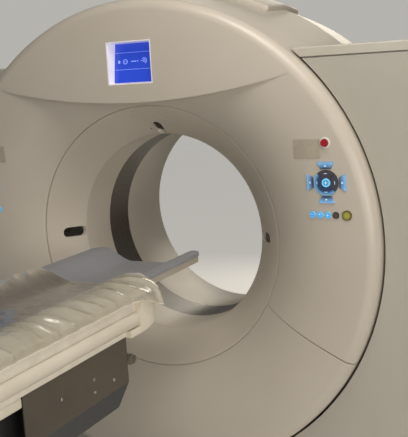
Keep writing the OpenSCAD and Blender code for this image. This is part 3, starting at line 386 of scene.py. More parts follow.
def outer_key(turn, grow=0.0):
    """Outline of one of the four wedge keys round the ring keys."""
    inner = RING_KEY_R + 0.004 - grow
    outer = RING_KEY_R + 0.026 + grow
    return turned_about([(-0.017 - grow, inner), (0.017 + grow, inner), (0.028 + grow, outer),
                         (-0.028 - grow, outer)], turn)


def row_x(i):
    """Place of a round key in the row."""
    return ROW_START + ROW_PITCH * i


def key_holes(side):
    """Cutters for the openings of one side's keys."""
    holes = [circle(KEYS_X, KEYS_Z, RING_KEY_R + KEY_GAP), circle(KEYS_X, STOP_Z, STOP_R + KEY_GAP),
             circle(START_X, ROW_Z, START_R + KEY_GAP)]
    holes += [circle(row_x(i), ROW_Z, ROW_KEY_R + KEY_GAP) for i in range(4)]
    holes += [outer_key(90 * i, KEY_GAP) for i in range(4)]
    return [prism([(side * x, z) for x, z in hole], -0.51, -0.43) for hole in holes]


# Sprayed enamel on glass fibre: even, with wide soft lights and no grain that shows from a step away.
cover_plastic = finish("cover_paint", "#ccc6bb", "#c4bdb1", 0.32, cloud_mm=700, grain_mm=6, relief=0.02)
seam_start = SEAM_R + SEAM_GAP / 2
crest = (FACE_R, -FACE_D + CREST_R)
front_profile = ([face_point(seam_start, 0.003), face_point(seam_start + 0.0004, 0.0014),
                  face_point(seam_start + 0.0014, 0.0004)]
                 + [face_point(r) for r in spread(seam_start + 0.003, FACE_R, 48)]
                 + rounding(crest, CREST_R, -90, 0, 14)
                 + [(RIM_R, SPLIT_D - SEAM_GAP / 2), (RIM_R - WALL, SPLIT_D - SEAM_GAP / 2)]
                 + rounding(crest, CREST_R - WALL, 0, -90, 8)
                 + [face_point(r, WALL) for r in spread(FACE_R, seam_start, 24)])
front_cover = placed("front_cover_moulding", turned(front_profile, -LOWER_ANGLE, 180 + 2 * LOWER_ANGLE))
display_opening = rectangle(-DISPLAY_W / 2, DISPLAY_W / 2,
                            DISPLAY_Z - DISPLAY_H / 2, DISPLAY_Z + DISPLAY_H / 2)
carve(front_cover, joined(prism(display_opening, -0.55, -0.38), *key_holes(1), *key_holes(-1)))
brow_profile = ([brow_point(r) for r in spread(seam_start, FACE_R, 40)]
                + [face_point(r, WALL / 2) for r in spread(FACE_R - 0.002, seam_start, 24)])
brow = placed("brow_moulding", turned(brow_profile, BROW_START, BROW_SWEEP))
carve(brow, prism(circle(0, BROW_Z + BROW_R, BROW_R, 720), -0.56, -0.2), "INTERSECT")
carve(brow, prism(display_opening, -0.55, -0.2))
soften(brow, BROW_LIP, lambda p: abs(math.hypot(p.x, p.z - AXIS_Z - BROW_Z - BROW_R) - BROW_R) < 0.0004
       and p.y < brow_point(math.hypot(p.x, p.z - AXIS_Z))[1] + 0.0006)
smooth(front_cover, cover_plastic)
smooth(brow, cover_plastic, 50)
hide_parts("front_cover")
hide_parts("front_cover")

# Fixings of the front cover: on each side a small screw hole and a notch in the rim near the side box,
# the stop button's white collar, and a blank enamelled plate beside it on four rivets.
RIM_HOLES = [(16.3, -0.414, 0.0022), (3.1, -0.392, 0.0014)]
REAR_D, REAR_RIM_R, REAR_CREST_R = 0.475, 0.896, 0.035
PLATE_X, PLATE_Z, PLATE_W, PLATE_H, PLATE_CORNER, RIVET_IN = 0.602, 0.306, 0.096, 0.065, 0.004, 0.006
CAP_LIFT, PLATE_LIFT, PLATE_T = 0.0002, 0.0009, 0.0008


def on_face(x, z, lift=0.0):
    """Point on the front cover's face or funnel at x and a height over the axis, lifted off it."""
    r = math.hypot(x, z)
    radius, y = face_point(r, -lift)
    return Vector((x * radius / r, y, AXIS_Z + z * radius / r))


def face_normal(x, z):
    """Direction that the front cover's face looks in."""
    return (on_face(x, z, 0.001) - on_face(x, z)).normalized()


def rim_radius(y):
    """Radius of the barrel-shaped rim at a Y, in front of the split between the covers and behind it."""
    start = FACE_R + CREST_R
    if y < SPLIT_D:
        return start + (RIM_R - start) * (y + FACE_D - CREST_R) / (SPLIT_D + FACE_D - CREST_R)
    return RIM_R - (RIM_R - REAR_RIM_R) * (y - SPLIT_D) / (REAR_D - REAR_CREST_R - SPLIT_D)


def stood_on(place, normal):
    """Matrix that puts a shape on a surface at a place, with its Z along the normal."""
    return Matrix.Translation(place) @ Vector(normal).to_track_quat("Z", "Y").to_matrix().to_4x4()


def cap(place, normal, radius, count=8):
    """Small round cap that lies on a surface."""
    shape = bmesh.new()
    bmesh.ops.create_circle(shape, cap_ends=True, segments=count, radius=radius,
                            matrix=stood_on(place, normal))
    return shape


def knob(profile, place, normal, steps=16):
    """Body turned about a normal from a profile of radius and height, such as a screw's head or a collar."""
    shape = bmesh.new()
    loop = [shape.verts.new((r, 0, h)) for r, h in profile]
    edges = [shape.edges.new(pair) for pair in zip(loop, loop[1:])]
    bmesh.ops.spin(shape, geom=loop + edges, cent=(0, 0, 0), axis=(0, 0, 1), angle=2 * math.pi, steps=steps,
                   use_merge=True)
    bmesh.ops.remove_doubles(shape, verts=shape.verts, dist=1e-6)
    bmesh.ops.transform(shape, matrix=stood_on(place, normal), verts=shape.verts)
    bmesh.ops.recalc_face_normals(shape, faces=shape.faces)
    return shape


# The holes' shaded insides are painted as dull black discs, and a plated steel screw shows as a small bright
# spot.
hole_shade_black = finish("hole_shade_black", "#12110f", "#0c0b0a", 0.8, cloud_mm=20, grain_mm=0.5, relief=0.1)
screw_steel = finish("screw_steel", "#b7b8ba", "#9fa1a4", 0.3, cloud_mm=15, grain_mm=0.3, relief=0.05,
                     metallic=1.0)
holes = []
for turn, y, size in RIM_HOLES:
    radius = rim_radius(y)
    for side in (1, -1):
        out = Vector((side * math.cos(math.radians(turn)), -0.07, math.sin(math.radians(turn))))
        spot = Vector((out.x * radius, y, AXIS_Z + out.z * radius))
        holes.append(cap(spot + out * CAP_LIFT, out, size, 12))
rim_holes = placed("rim_holes", joined(*holes))
smooth(rim_holes, hole_shade_black)
collar_profile = [(0.0132, 0.0005), (0.0132, 0.0022), (0.0150, 0.0030), (0.0172, 0.0026), (0.0184, 0.0012),
                  (0.0186, -0.0005)]
# Moulded white plastic with a clear edge light on its rounding.
collar_white = finish("collar_white", "#efeeec", "#e4e3e0", 0.3, cloud_mm=20, grain_mm=0.6, relief=0.03)
collars = placed("stop_collars", joined(*[knob(collar_profile, on_face(x, STOP_Z), face_normal(x, STOP_Z), 40)
                                          for x in (KEYS_X, -KEYS_X)]))
smooth(collars, collar_white)
plate_shapes, rivet_shapes = [], []
for side in (1, -1):
    sheet_metal = bmesh.new()
    bmesh.ops.create_grid(sheet_metal, x_segments=12, y_segments=8, size=0.5)
    for v in sheet_metal.verts:
        x = PLATE_X + PLATE_W * (v.co.x + 0.5)
        z = PLATE_Z + PLATE_H * (v.co.y + 0.5)
        v.co = on_face(side * x, z, PLATE_LIFT)
    thick(sheet_metal, (0, PLATE_T, 0))
    corners = [e for e in sheet_metal.edges if e.calc_face_angle(0) > 1.0 and e.calc_length() < 1.5 * PLATE_T]
    round_off(sheet_metal, corners, PLATE_CORNER, 4, False)
    plate_shapes.append(sheet_metal)
    for x in (PLATE_X + RIVET_IN, PLATE_X + PLATE_W - RIVET_IN):
        for z in (PLATE_Z + RIVET_IN, PLATE_Z + PLATE_H - RIVET_IN):
            rivet_shapes.append(knob([(0, 0.0009), (0.0010, 0.0008), (0.0017, 0.0003), (0.0018, 0)],
                                     on_face(side * x, z, PLATE_LIFT), face_normal(side * x, z), 12))
# Enamelled aluminium sheet: flat, a little darker and glossier than the cover round it.
plate_enamel = finish("plate_enamel", "#b9b2a2", "#aca595", 0.28, cloud_mm=60, grain_mm=0.7, relief=0.06)
plates = placed("blank_plates", joined(*plate_shapes))
smooth(plates, plate_enamel)
rivets = placed("plate_rivets", joined(*rivet_shapes))
smooth(rivets, screw_steel, 60)

# Lower front cover: a second moulding that comes off by itself, below two radial seams.
# It ends 3 mm short of the front cover and carries on its curve.
lower_cover = placed("lower_cover_moulding",
                     turned(front_profile, 180 + LOWER_ANGLE + 0.25, 180 - 2 * LOWER_ANGLE - 0.5))
smooth(lower_cover, cover_plastic)
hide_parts("lower_front_cover")

# Bore funnel: the vacuum-formed tunnel from the seam on the face down to the scan window, held by a tongue.
# Three rounded slots let the positioning lasers out, and small holes at the top let the speaker sound out.
BORE_R, BAND_W = 0.390, 0.155
SLOT_ROUND, SIDE_SLOT, TOP_SLOT = 0.016, (-0.340, -0.264, 0.040), (-0.326, -0.266, 0.038)


def rounded(u0, u1, v0, v1, r, count=6):
    """Outline of a rectangle with rounded corners."""
    corners = [(u1 - r, v1 - r, 0), (u0 + r, v1 - r, 90), (u0 + r, v0 + r, 180), (u1 - r, v0 + r, 270)]
    return [point for u, v, a in corners for point in rounding((u, v), r, a, a + 90, count)]


def laser_slot(turn, y_start, y_end, width):
    """Cutter of a rounded slot through the funnel, in a direction seen from the front."""
    outline = rounded(y_start, y_end, -width / 2, width / 2, SLOT_ROUND)
    slot = extruded([(THROAT_R - 0.04, y, AXIS_Z + w) for y, w in outline], (0.14, 0, 0))
    bmesh.ops.rotate(slot, verts=slot.verts, cent=(0, 0, AXIS_Z),
                     matrix=Matrix.Rotation(-math.radians(turn), 3, "Y"))
    return slot


seam_end = SEAM_R + 0.0001
tongue_end = seam_end + 0.017
funnel_profile = ([(BORE_R, -BAND_W / 2), (THROAT_R, -THROAT_D + 0.004)]
                  + [face_point(r) for r in spread(THROAT_R + 0.001, seam_end - 0.003, 48)]
                  + [face_point(seam_end - 0.0014, 0.0004), face_point(seam_end - 0.0004, 0.0014),
                     face_point(seam_end, 0.003), face_point(seam_end, WALL + 0.0003)]
                  + [face_point(r, WALL + 0.0003) for r in spread(seam_end + 0.002, tongue_end, 3)]
                  + [face_point(r, 2 * WALL) for r in spread(tongue_end, THROAT_R + 0.006, 28)]
                  + [(BORE_R + WALL, -BAND_W / 2 - 0.12), (BORE_R + WALL, -BAND_W / 2)])
funnel = placed("bore_funnel_shell", turned(funnel_profile))
carve(funnel, joined(laser_slot(0, *SIDE_SLOT), laser_slot(180, *SIDE_SLOT), laser_slot(90, *TOP_SLOT)))
# Vacuum-formed sheet in the covers' colour, as smooth as they are.
funnel_plastic = finish("funnel_plastic", "#ccc5ba", "#c4bdb0", 0.32, cloud_mm=500, grain_mm=5, relief=0.02)
smooth(funnel, funnel_plastic)
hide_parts("bore_funnel")
SPEAKER_TURN, SPEAKER_REACH, SPEAKER_R = 87.5, 13.5, 0.462
SPEAKER_PITCH, SPEAKER_ROWS, HOLE_R = 0.0095, 5, 0.0012
MICROPHONE_X, MICROPHONE_Z, MICROPHONE_R = -0.034, 0.412, 0.0035
speaker = []
for i in range(-SPEAKER_ROWS, SPEAKER_ROWS + 1):
    radius = SPEAKER_R + i * SPEAKER_PITCH * 0.87
    count = round(2 * math.radians(SPEAKER_REACH) * radius / SPEAKER_PITCH)
    for j in range(count):
        across = (j + 0.25 + 0.5 * (i % 2)) / count * 2 - 1
        turn = SPEAKER_TURN + across * SPEAKER_REACH
        by_the_slot = abs(turn - 90) < 3.6 and radius < 0.436
        if across ** 2 + (i / (SPEAKER_ROWS + 0.3)) ** 2 > 1 or by_the_slot:
            continue
        x, z = radius * math.cos(math.radians(turn)), radius * math.sin(math.radians(turn))
        speaker.append(cap(on_face(x, z, CAP_LIFT), face_normal(x, z), HOLE_R))
speaker.append(cap(on_face(MICROPHONE_X, MICROPHONE_Z, CAP_LIFT), face_normal(MICROPHONE_X, MICROPHONE_Z),
                   MICROPHONE_R, 12))
speaker_holes = placed("speaker_holes", joined(*speaker))
# The holes are too fine to look into, so their shaded insides are painted as dull dark dots.
speaker_hole_shade = finish("speaker_hole_shade", "#4a463e", "#3d3a33", 0.8, cloud_mm=20, grain_mm=0.5, relief=0.1)
smooth(speaker_holes, speaker_hole_shade)
# Smoked acrylic: nearly black, with a sharp mirror.
window_glass = finish("smoked_window", "#26231f", "#1b1917", 0.12, cloud_mm=80, grain_mm=2, relief=0.01)
dress(window_glass, "laser_windows")

# Scan window: a hoop of dark plastic film in the bore that the fan beam passes through.
# It is clamped between the two funnels, and its smooth face mirrors a little.
WINDOW_T, WINDOW_GAP = 0.004, 0.0004
# Film in a dark warm grey, glossy enough to show the pale bore as a broad sheen.
window_film = finish("scan_film", "#4b443a", "#403930", 0.28, cloud_mm=300, grain_mm=1, relief=0.02)
window_half = BAND_W / 2 - WINDOW_GAP
window_section = rectangle(BORE_R, BORE_R + WINDOW_T, -window_half, window_half)
scan_window = placed("scan_window_hoop", turned(window_section))
smooth(scan_window, window_film)
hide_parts("scan_window_ring")

# Rear funnel and rear cover: the same mouldings as in front, plainer, screwed to the frame from behind.
# Cooling slots stand low on the rear face, and two notches leave room for the frame's legs.
REAR_OPEN_R, REAR_SEAM_R = 0.439, 0.4725


def rear_radius(y):
    """Radius of the rear funnel, which opens towards the back."""
    return BORE_R + (REAR_OPEN_R - BORE_R) * ((y - BAND_W / 2) / (REAR_D - 0.010 - BAND_W / 2)) ** 1.6


rear_profile = ([(rear_radius(y), y) for y in spread(BAND_W / 2, REAR_D - 0.010, 30)]
                + rounding((REAR_OPEN_R + 0.022, REAR_D - 0.022), 0.022, 150, 90, 6)
                + [(REAR_OPEN_R + 0.032, REAR_D - 0.0005), (REAR_OPEN_R + 0.032, REAR_D - WALL)]
                + [(rear_radius(y) + WALL, y) for y in spread(REAR_D - 0.018, BAND_W / 2, 30)])
rear_funnel = placed("rear_funnel_shell", turned(rear_profile))
smooth(rear_funnel, funnel_plastic)
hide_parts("rear_funnel")
rear_crest = (REAR_RIM_R - REAR_CREST_R, REAR_D - REAR_CREST_R)
rear_edge = SPLIT_D + SEAM_GAP / 2
rear_cover_profile = ([(RIM_R - 0.0123, rear_edge + 0.010), (RIM_R - 0.0133, rear_edge - 0.017),
                       (RIM_R - 0.0083, rear_edge - 0.017), (RIM_R - 0.0063, rear_edge), (RIM_R, rear_edge)]
                      + rounding(rear_crest, REAR_CREST_R, 0, 90, 12)
                      + [(REAR_SEAM_R, REAR_D), (REAR_SEAM_R, REAR_D - WALL)]
                      + rounding(rear_crest, REAR_CREST_R - WALL, 90, 0, 8))
rear_cover = placed("rear_cover_moulding", turned(rear_cover_profile))
VENT_Z, VENT_PITCH, VENT_H, VENT_W, VENTS = -0.42, 0.034, 0.014, 0.16, 8
vent_heights = [VENT_Z + VENT_PITCH * i for i in range(VENTS)]
rear_vents = [prism(rectangle(x, x + VENT_W, z, z + VENT_H), 0.44, 0.50)
              for x in (0.56, -0.72) for z in vent_heights]
leg_rooms = [prism(rectangle(x, x + 0.132, -0.93, -0.60), 0.154, 0.256) for x in (0.354, -0.486)]
carve(rear_cover, joined(*rear_vents, *leg_rooms))
smooth(rear_cover, cover_plastic)
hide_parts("rear_cover")

# Top cover: a shallow raised hood on the crown of the ring, screwed on over the lifting points.
# It is moulded in the same sprayed glass fibre as the covers, with well rounded edges.
HUMP_ANGLE, HUMP_H, HUMP_FRONT, HUMP_BACK, HUMP_ROUND, HUMP_EDGE = 25, 0.020, 0.100, 0.255, 0.012, 0.009
hood_front, hood_back = -HUMP_FRONT + HUMP_ROUND, HUMP_BACK - HUMP_ROUND
hood_profile = ([(rim_radius(-HUMP_FRONT) + 0.0003, -HUMP_FRONT)]
                + rounding((rim_radius(hood_front) + HUMP_H - HUMP_ROUND, hood_front), HUMP_ROUND, -90, 0, 6)
                + [(RIM_R + HUMP_H, SPLIT_D)]
                + rounding((rim_radius(hood_back) + HUMP_H - HUMP_ROUND, hood_back), HUMP_ROUND, 0, 90, 6)
                + [(rim_radius(HUMP_BACK) + 0.0003, HUMP_BACK), (RIM_R + 0.0003, SPLIT_D)])
hood_shape = turned(hood_profile, 90 - HUMP_ANGLE, 2 * HUMP_ANGLE)
hood_rims = [e for e in hood_shape.edges if e.calc_face_angle(0) > 1.2
             and max(math.hypot(v.co.x, v.co.z - AXIS_Z) - rim_radius(v.co.y) for v in e.verts) > 0.004]
round_off(hood_shape, hood_rims, HUMP_EDGE, 5)
hood = placed("top_hood", hood_shape)
smooth(hood, cover_plastic)
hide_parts("top_cover")

# Side boxes: folded sheet-metal cabinets beside the ring, sprayed a cooler grey-white, with a lid strip.
# The lid stands on a recessed neck, which leaves a shadow joint, and the box follows the ring at 8 mm.
# Spray paint on sheet metal: flat, even and half matt, the lid a little paler than the box.
side_paint = finish("side_paint", "#b9b6ad", "#b1aea4", 0.38, cloud_mm=500, grain_mm=3, relief=0.03,
                    edge_mm=2)
lid_paint = finish("lid_paint", "#c6c3b9", "#bebaae", 0.36, cloud_mm=400, grain_mm=3, relief=0.03,
                   edge_mm=2)
dress(side_paint, "left_side_box", "right_side_box")
dress(lid_paint, "side_box_lids")

# Display: a tray of white plastic set in the brow, with a lit blue screen in it that leans to look down.
# The screen's light on the tray is painted as a faint bluish glow of the tray, and plain lines, rings and
# arrows stand for what it shows.
SCREEN_TILT, SCREEN_DEPTH, GRAPHICS_OUT = 8, 0.032, 0.0004


def glowing(material, tint, strength):
    """Lets a finish give off light of its own."""
    shader = material.node_tree.nodes["Principled BSDF"]
    shader.inputs["Emission Color"].default_value = colour(tint)
    shader.inputs["Emission Strength"].default_value = strength
    return material


def on_screen(shape):
    """Moves a flat shape, drawn in x and z about the screen's middle, to just before the screen."""
    place = Matrix.Translation((0, -FACE_D + SCREEN_DEPTH - GRAPHICS_OUT, AXIS_Z + DISPLAY_Z))
    lean = Matrix.Rotation(-math.radians(SCREEN_TILT), 4, "X")
    bmesh.ops.transform(shape, verts=shape.verts, matrix=place @ lean)
    return shape


def flat(points):
    """One flat face in x and z."""
    shape = bmesh.new()
    shape.faces.new([shape.verts.new((x, 0, z)) for x, z in points])
    return shape


def flat_ring(x, z, inner, outer, start=0, end=360, count=28):
    """Flat arc or ring of even width."""
    shape = bmesh.new()
    sides = zip(rounding((x, z), inner, start, end, count), rounding((x, z), outer, start, end, count))
    pairs = [[shape.verts.new((px, 0, pz)) for px, pz in side] for side in sides]
    for near, far in zip(pairs, pairs[1:]):
        shape.faces.new((near[0], near[1], far[1], far[0]))
    return shape


# White plastic with a painted bluish glow for the screen's light on it, and a saturated blue screen behind
# smooth glass.
bezel_plastic = finish("bezel_plastic", "#f2f0f1", "#e8e6e8", 0.35, cloud_mm=60, grain_mm=1, relief=0.05)
dress(glowing(bezel_plastic, "#dcdcf4", 0.16), "display_bezel")
screen_light = finish("screen_light", "#2440b4", "#1d37a8", 0.2, cloud_mm=80, grain_mm=0.5, relief=0.01)
dress(glowing(screen_light, "#2f4fd0", 0.5), "display_screen")
graphics = [flat(rectangle(-0.078, 0.078, z, z + 0.0011)) for z in (0.037, -0.024)]
graphics += [flat_ring(0.042, 0.005, 0.0085, 0.0110, -70, 150), flat_ring(0.042, 0.005, 0.0030, 0.0052),
             flat(rectangle(0.027, 0.038, 0.0042, 0.0058)), flat(rectangle(-0.012, 0.010, 0.0035, 0.0065)),
             flat([(0.014, 0.002), (0.019, 0.005), (0.014, 0.008)]),
             flat([(0.070, 0.005), (0.076, 0.001), (0.076, 0.009)]),
             flat_ring(-0.036, 0.005, 0.0070, 0.0092), flat(rectangle(-0.046, -0.026, 0.0044, 0.0056)),
             flat([(-0.066, 0.0), (-0.058, 0.0), (-0.058, 0.010), (-0.066, 0.010)])]
screen_glow = finish("screen_glow", "#9db4ff", "#8ea8fb", 0.3, cloud_mm=10, grain_mm=0.5, relief=0.01)
screen_marks = placed("screen_graphics", joined(*[on_screen(shape) for shape in graphics]))
smooth(screen_marks, glowing(screen_glow, "#8ea8ff", 0.55))

# Controls: keys moulded in half-clear plastic on each side of the bore, on a base plate behind the cover.
# They are lit from behind, so their colour and light change towards the rim, and carry thin lit legends.
KEY_HEAD, MARK_T = 0.0042, 0.0002
WAYS = ("up", "left", "down", "right")


def lit_key(name, inner, outer, start, end, glow, centre=(KEYS_X, KEYS_Z), roughness=0.35):
    """Moulded key whose colour and light change with the distance from a centre, on both sides alike."""
    material = finish(name, outer, outer, roughness, cloud_mm=20, grain_mm=0.5, relief=0.05, edge_mm=0.8)
    tree = material.node_tree
    shader = tree.nodes["Principled BSDF"]
    reach = tree.nodes.new("ShaderNodeTexCoord").outputs["Object"]
    steps = {"ABSOLUTE": None, "SUBTRACT": (centre[0], 0, AXIS_Z + centre[1]), "MULTIPLY": (1, 0, 1)}
    for operation, value in steps.items():
        step = add(tree, "ShaderNodeVectorMath", {"operation": operation})
        tree.links.new(reach, step.inputs[0])
        if value:
            step.inputs[1].default_value = value
        reach = step.outputs[0]
    length = add(tree, "ShaderNodeVectorMath", {"operation": "LENGTH"})
    tree.links.new(reach, length.inputs[0])
    share = add(tree, "ShaderNodeMapRange", Value=length.outputs["Value"], From_Min=start, From_Max=end)
    mix = add(tree, "ShaderNodeMix", {"data_type": "RGBA"})
    tree.links.new(share.outputs["Result"], mix.inputs[0])
    mix.inputs[6].default_value = colour(inner)
    mix.inputs[7].default_value = colour(outer)
    tree.links.new(mix.outputs[2], shader.inputs["Base Color"])
    tree.links.new(mix.outputs[2], shader.inputs["Emission Color"])
    shader.inputs["Emission Strength"].default_value = glow
    return material


def mark(outline, body):
    """Thin lit legend of a key, on its head and moving with it."""
    shape = bmesh.new()
    shape.faces.new([shape.verts.new(on_face(x, z, KEY_HEAD)) for x, z in outline])
    piece = placed(body + "_mark", thick(shape, (0, -MARK_T, 0)), body)
    smooth(piece, mark_light)


ring_dark = lit_key("ring_key_dark", "#3f4450", "#4a4650", 0.014, 0.042, 0.05)
ring_lit = lit_key("ring_key_lit", "#2c3c5e", "#6fb4ea", 0.030, 0.043, 0.30)
wedge_lit = lit_key("wedge_key", "#2d3a52", "#7fb6ea", 0.047, 0.068, 0.28)
centre_lit = lit_key("centre_key", "#1c6a9e", "#7fd0fa", 0.006, 0.013, 0.5)
row_lit = [lit_key("row_key_%d" % i, "#2f8fe0", "#6fc4f8", 0.003, 0.011, 0.35, (row_x(i), ROW_Z))
           for i in range(3)]
row_dark = lit_key("row_key_dark", "#5a4f52", "#3d3638", 0.005, 0.011, 0.02, (row_x(3), ROW_Z))
start_olive = lit_key("start_key", "#a9a450", "#5c5a1e", 0.007, 0.015, 0.06, (START_X, ROW_Z))
mark_light = finish("mark_light", "#cfeaff", "#b9dcf6", 0.4, cloud_mm=10, grain_mm=0.5, relief=0.02)
glowing(mark_light, "#a8dcff", 0.5)
# Matt grey plastic behind the keys, and glossy red plastic for the stop buttons.
key_grey = finish("key_grey", "#4d5058", "#44474e", 0.4, cloud_mm=20, grain_mm=0.5, relief=0.05)
stop_red = finish("stop_red", "#b01f30", "#9a1a28", 0.28, cloud_mm=20, grain_mm=0.5, relief=0.05, edge_mm=1.5)
dress(key_grey, "right_key_base")
dress(ring_dark, "right_ring_key_up", "right_ring_key_right")
dress(ring_lit, "right_ring_key_left", "right_ring_key_down", "left_key_base")
dress(wedge_lit, *["right_outer_key_" + way for way in WAYS])
dress(centre_lit, "right_centre_key")
for i, material in enumerate(row_lit + [row_dark]):
    dress(material, "right_row_key_%d" % (i + 1))
dress(start_olive, "right_start_key")
dress(stop_red, "right_stop_button", "left_stop_button")
ARROW = [(-0.0045, 0.0), (0.0045, 0.0), (0.0, 0.0060)]
BAR = [(-0.006, 0.0), (0.006, 0.0), (0.005, 0.0018), (-0.005, 0.0018)]
for i, way in enumerate(WAYS):
    mark(turned_about([(x, z + 0.054) for x, z in ARROW], 90 * i), "right_outer_key_" + way)
    mark(turned_about([(x, z + 0.030) for x, z in BAR], 90 * i), "right_ring_key_" + way)
CROSS = [(-0.001, -0.005), (0.001, -0.005), (0.001, -0.001), (0.005, -0.001), (0.005, 0.001),
         (0.001, 0.001), (0.001, 0.005), (-0.001, 0.005), (-0.001, 0.001), (-0.005, 0.001),
         (-0.005, -0.001), (-0.001, -0.001)]
mark([(KEYS_X + 1.2 * x, KEYS_Z + 1.2 * z) for x, z in CROSS], "right_centre_key")
for i, shape in enumerate((BAR, ARROW, CROSS)):
    mark([(row_x(i) + 0.9 * x, ROW_Z + 0.9 * z) for x, z in shape], "right_row_key_%d" % (i + 1))

# Table foot and lift: a welded foot with two square sleeves, aluminium columns and a lift screw between them.
# A pale moulded cover with a soft gloss hides the foot, and a black, grained one slides in it with the frame.
column_metal = finish("column_metal", "#b9bbbd", "#a8abae", 0.32, cloud_mm=90, grain_mm=0.6, relief=0.05,
                      metallic=0.9)
black_plastic = finish("black_plastic", "#232426", "#1a1b1c", 0.45, cloud_mm=150, grain_mm=1.2, relief=0.15)
shell_plastic = finish("table_shell_plastic", "#d6cebd", "#ccc3b1", 0.36, cloud_mm=300, grain_mm=2,
                       relief=0.05)
dress(frame_paint, "table_foot")
dress(shell_plastic, "base_cover")
dress(black_plastic, "lift_cover")
dress(column_metal, "lift_columns", "lift_screw")

# Table frame: an open trough of folded sheet, with guides on its floor for the tabletop's rollers.
# It is sprayed in a matt cream, which shows a fine orange peel close up.
table_paint = finish("table_paint", "#e8e3d6", "#dad4c5", 0.5, cloud_mm=60, grain_mm=1.5, relief=0.15)
dress(table_paint, "table_frame")

# Front end cap: a cream moulding with a blunt nose, hollow, open at the top for the tabletop.
# It is screwed to the end of the frame from behind, and a lip on each side fills in under the rail.
CAP_BACK, CAP_FRONT, CAP_HALF, CAP_WALL, CAP_OPEN = 1.000, 0.860, 0.278, 0.005, 0.208
CAP_TOP, CAP_BOTTOM, NOSE_Z, NOSE_L, CAP_ROUND = -0.068, -0.165, -0.082, 0.132, 0.075
CAP_FLOOR, CAP_SPLIT, LIP_BACK, LIP_FRONT = -0.122, -0.042, 1.0655, 0.9992
RAIL_IN, RAIL_NECK, RAIL_OUT, RAIL_TOP, RAIL_BOTTOM = 0.2583, 0.0022, 0.0178, -0.101, -0.145


def box(low, high):
    """Closed box between two corners, with heights over the bore axis."""
    x0, y0, z0 = low
    x1, y1, z1 = high
    end = [(x0, y0, AXIS_Z + z0), (x1, y0, AXIS_Z + z0), (x1, y0, AXIS_Z + z1), (x0, y0, AXIS_Z + z1)]
    return extruded(end, (0, y1 - y0, 0))


def taken(piece):
    """Takes the shape out of a piece that isn't needed any more."""
    shape = bmesh.new()
    shape.from_mesh(piece.data)
    bpy.data.objects.remove(piece)
    return shape


def cap_form(name, inset, rear):
    """The end cap's form, moved in by an inset: its side outline within its rounded plan."""
    nose = [(-CAP_FRONT - NOSE_L + (NOSE_L - inset) * math.cos(math.radians(a)),
             NOSE_Z + (NOSE_Z - CAP_BOTTOM - inset) * math.sin(math.radians(a))) for a in spread(0, -90, 24)]
    side = [(-rear, CAP_BOTTOM + inset), (-rear, CAP_TOP - inset)] + nose
    form = placed(name, extruded([(-CAP_HALF, y, AXIS_Z + z) for y, z in side], (2 * CAP_HALF, 0, 0)), None)
    r = CAP_ROUND - inset
    x, y = CAP_HALF - inset - r, -CAP_FRONT - inset - r
    rounds = rounding((x, y), r, 0, 90, 12) + rounding((-x, y), r, 90, 180, 12)
    plan = [(x + r, -1.2)] + rounds + [(-x - r, -1.2)]
    carve(form, extruded([(px, py, AXIS_Z - 0.3) for px, py in plan], (0, 0, 0.4)), "INTERSECT")
    return form


end_cap = cap_form("end_cap_shell", 0.0, CAP_BACK)
carve(end_cap, taken(cap_form("hollow", CAP_WALL, CAP_BACK - CAP_WALL)))
carve(end_cap, box((-CAP_OPEN, -CAP_BACK + CAP_WALL - 0.001, CAP_FLOOR), (CAP_OPEN, -0.840, CAP_SPLIT)))
carve(end_cap, box((-CAP_OPEN, -CAP_BACK - 0.001, CAP_BOTTOM + 0.012),
                   (CAP_OPEN, -CAP_BACK + CAP_WALL + 0.001, CAP_SPLIT)))
lips = [box((side * RAIL_IN, -LIP_BACK, CAP_BOTTOM), (side * CAP_HALF, -LIP_FRONT, RAIL_BOTTOM - 0.0005))
        for side in (1, -1)]
shell = bmesh.new()
shell.from_mesh(end_cap.data)
shell = joined(shell, *lips)
shell.to_mesh(end_cap.data)
shell.free()
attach(end_cap, "lift")
# Moulded plastic in cream: smooth, with a soft light along its nose.
cap_cream = finish("cap_cream", "#e3ddcd", "#d9d2c0", 0.34, cloud_mm=160, grain_mm=1.4, relief=0.05,
                   edge_mm=3)
smooth(end_cap, cap_cream)
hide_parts("front_end_cap")

# Accessory rails: rounded extrusions of off-white plastic along both sides of the frame, with flat end plugs.
# Long screws hold them from inside the frame, so nothing shows outside but their smooth, half-gloss curve.
RAIL_START, RAIL_END = -2.960, -1.000
rail_z, rail_half = (RAIL_TOP + RAIL_BOTTOM) / 2, (RAIL_TOP - RAIL_BOTTOM) / 2
neck_x, neck_low, neck_high = RAIL_IN + RAIL_NECK, rail_z - 0.6 * rail_half, rail_z + 0.6 * rail_half
rail_outline = [(RAIL_IN, neck_low), (neck_x, neck_low)]
rail_outline += [(neck_x + (RAIL_OUT - RAIL_NECK) * math.cos(a), rail_z + rail_half * math.sin(a))
                 for a in spread(-math.pi / 2, math.pi / 2, 20)]
rail_outline += [(neck_x, neck_high), (RAIL_IN, neck_high)]
rail_bodies = [prism([(side * x, z) for x, z in rail_outline], RAIL_START, RAIL_END) for side in (1, -1)]
rails = placed("accessory_rails", joined(*rail_bodies), "lift")
rail_plastic = finish("rail_plastic", "#dbd5c8", "#d1cabb", 0.32, cloud_mm=200, grain_mm=1, relief=0.04,
                      edge_mm=2)
smooth(rails, rail_plastic)
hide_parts("side_rails")

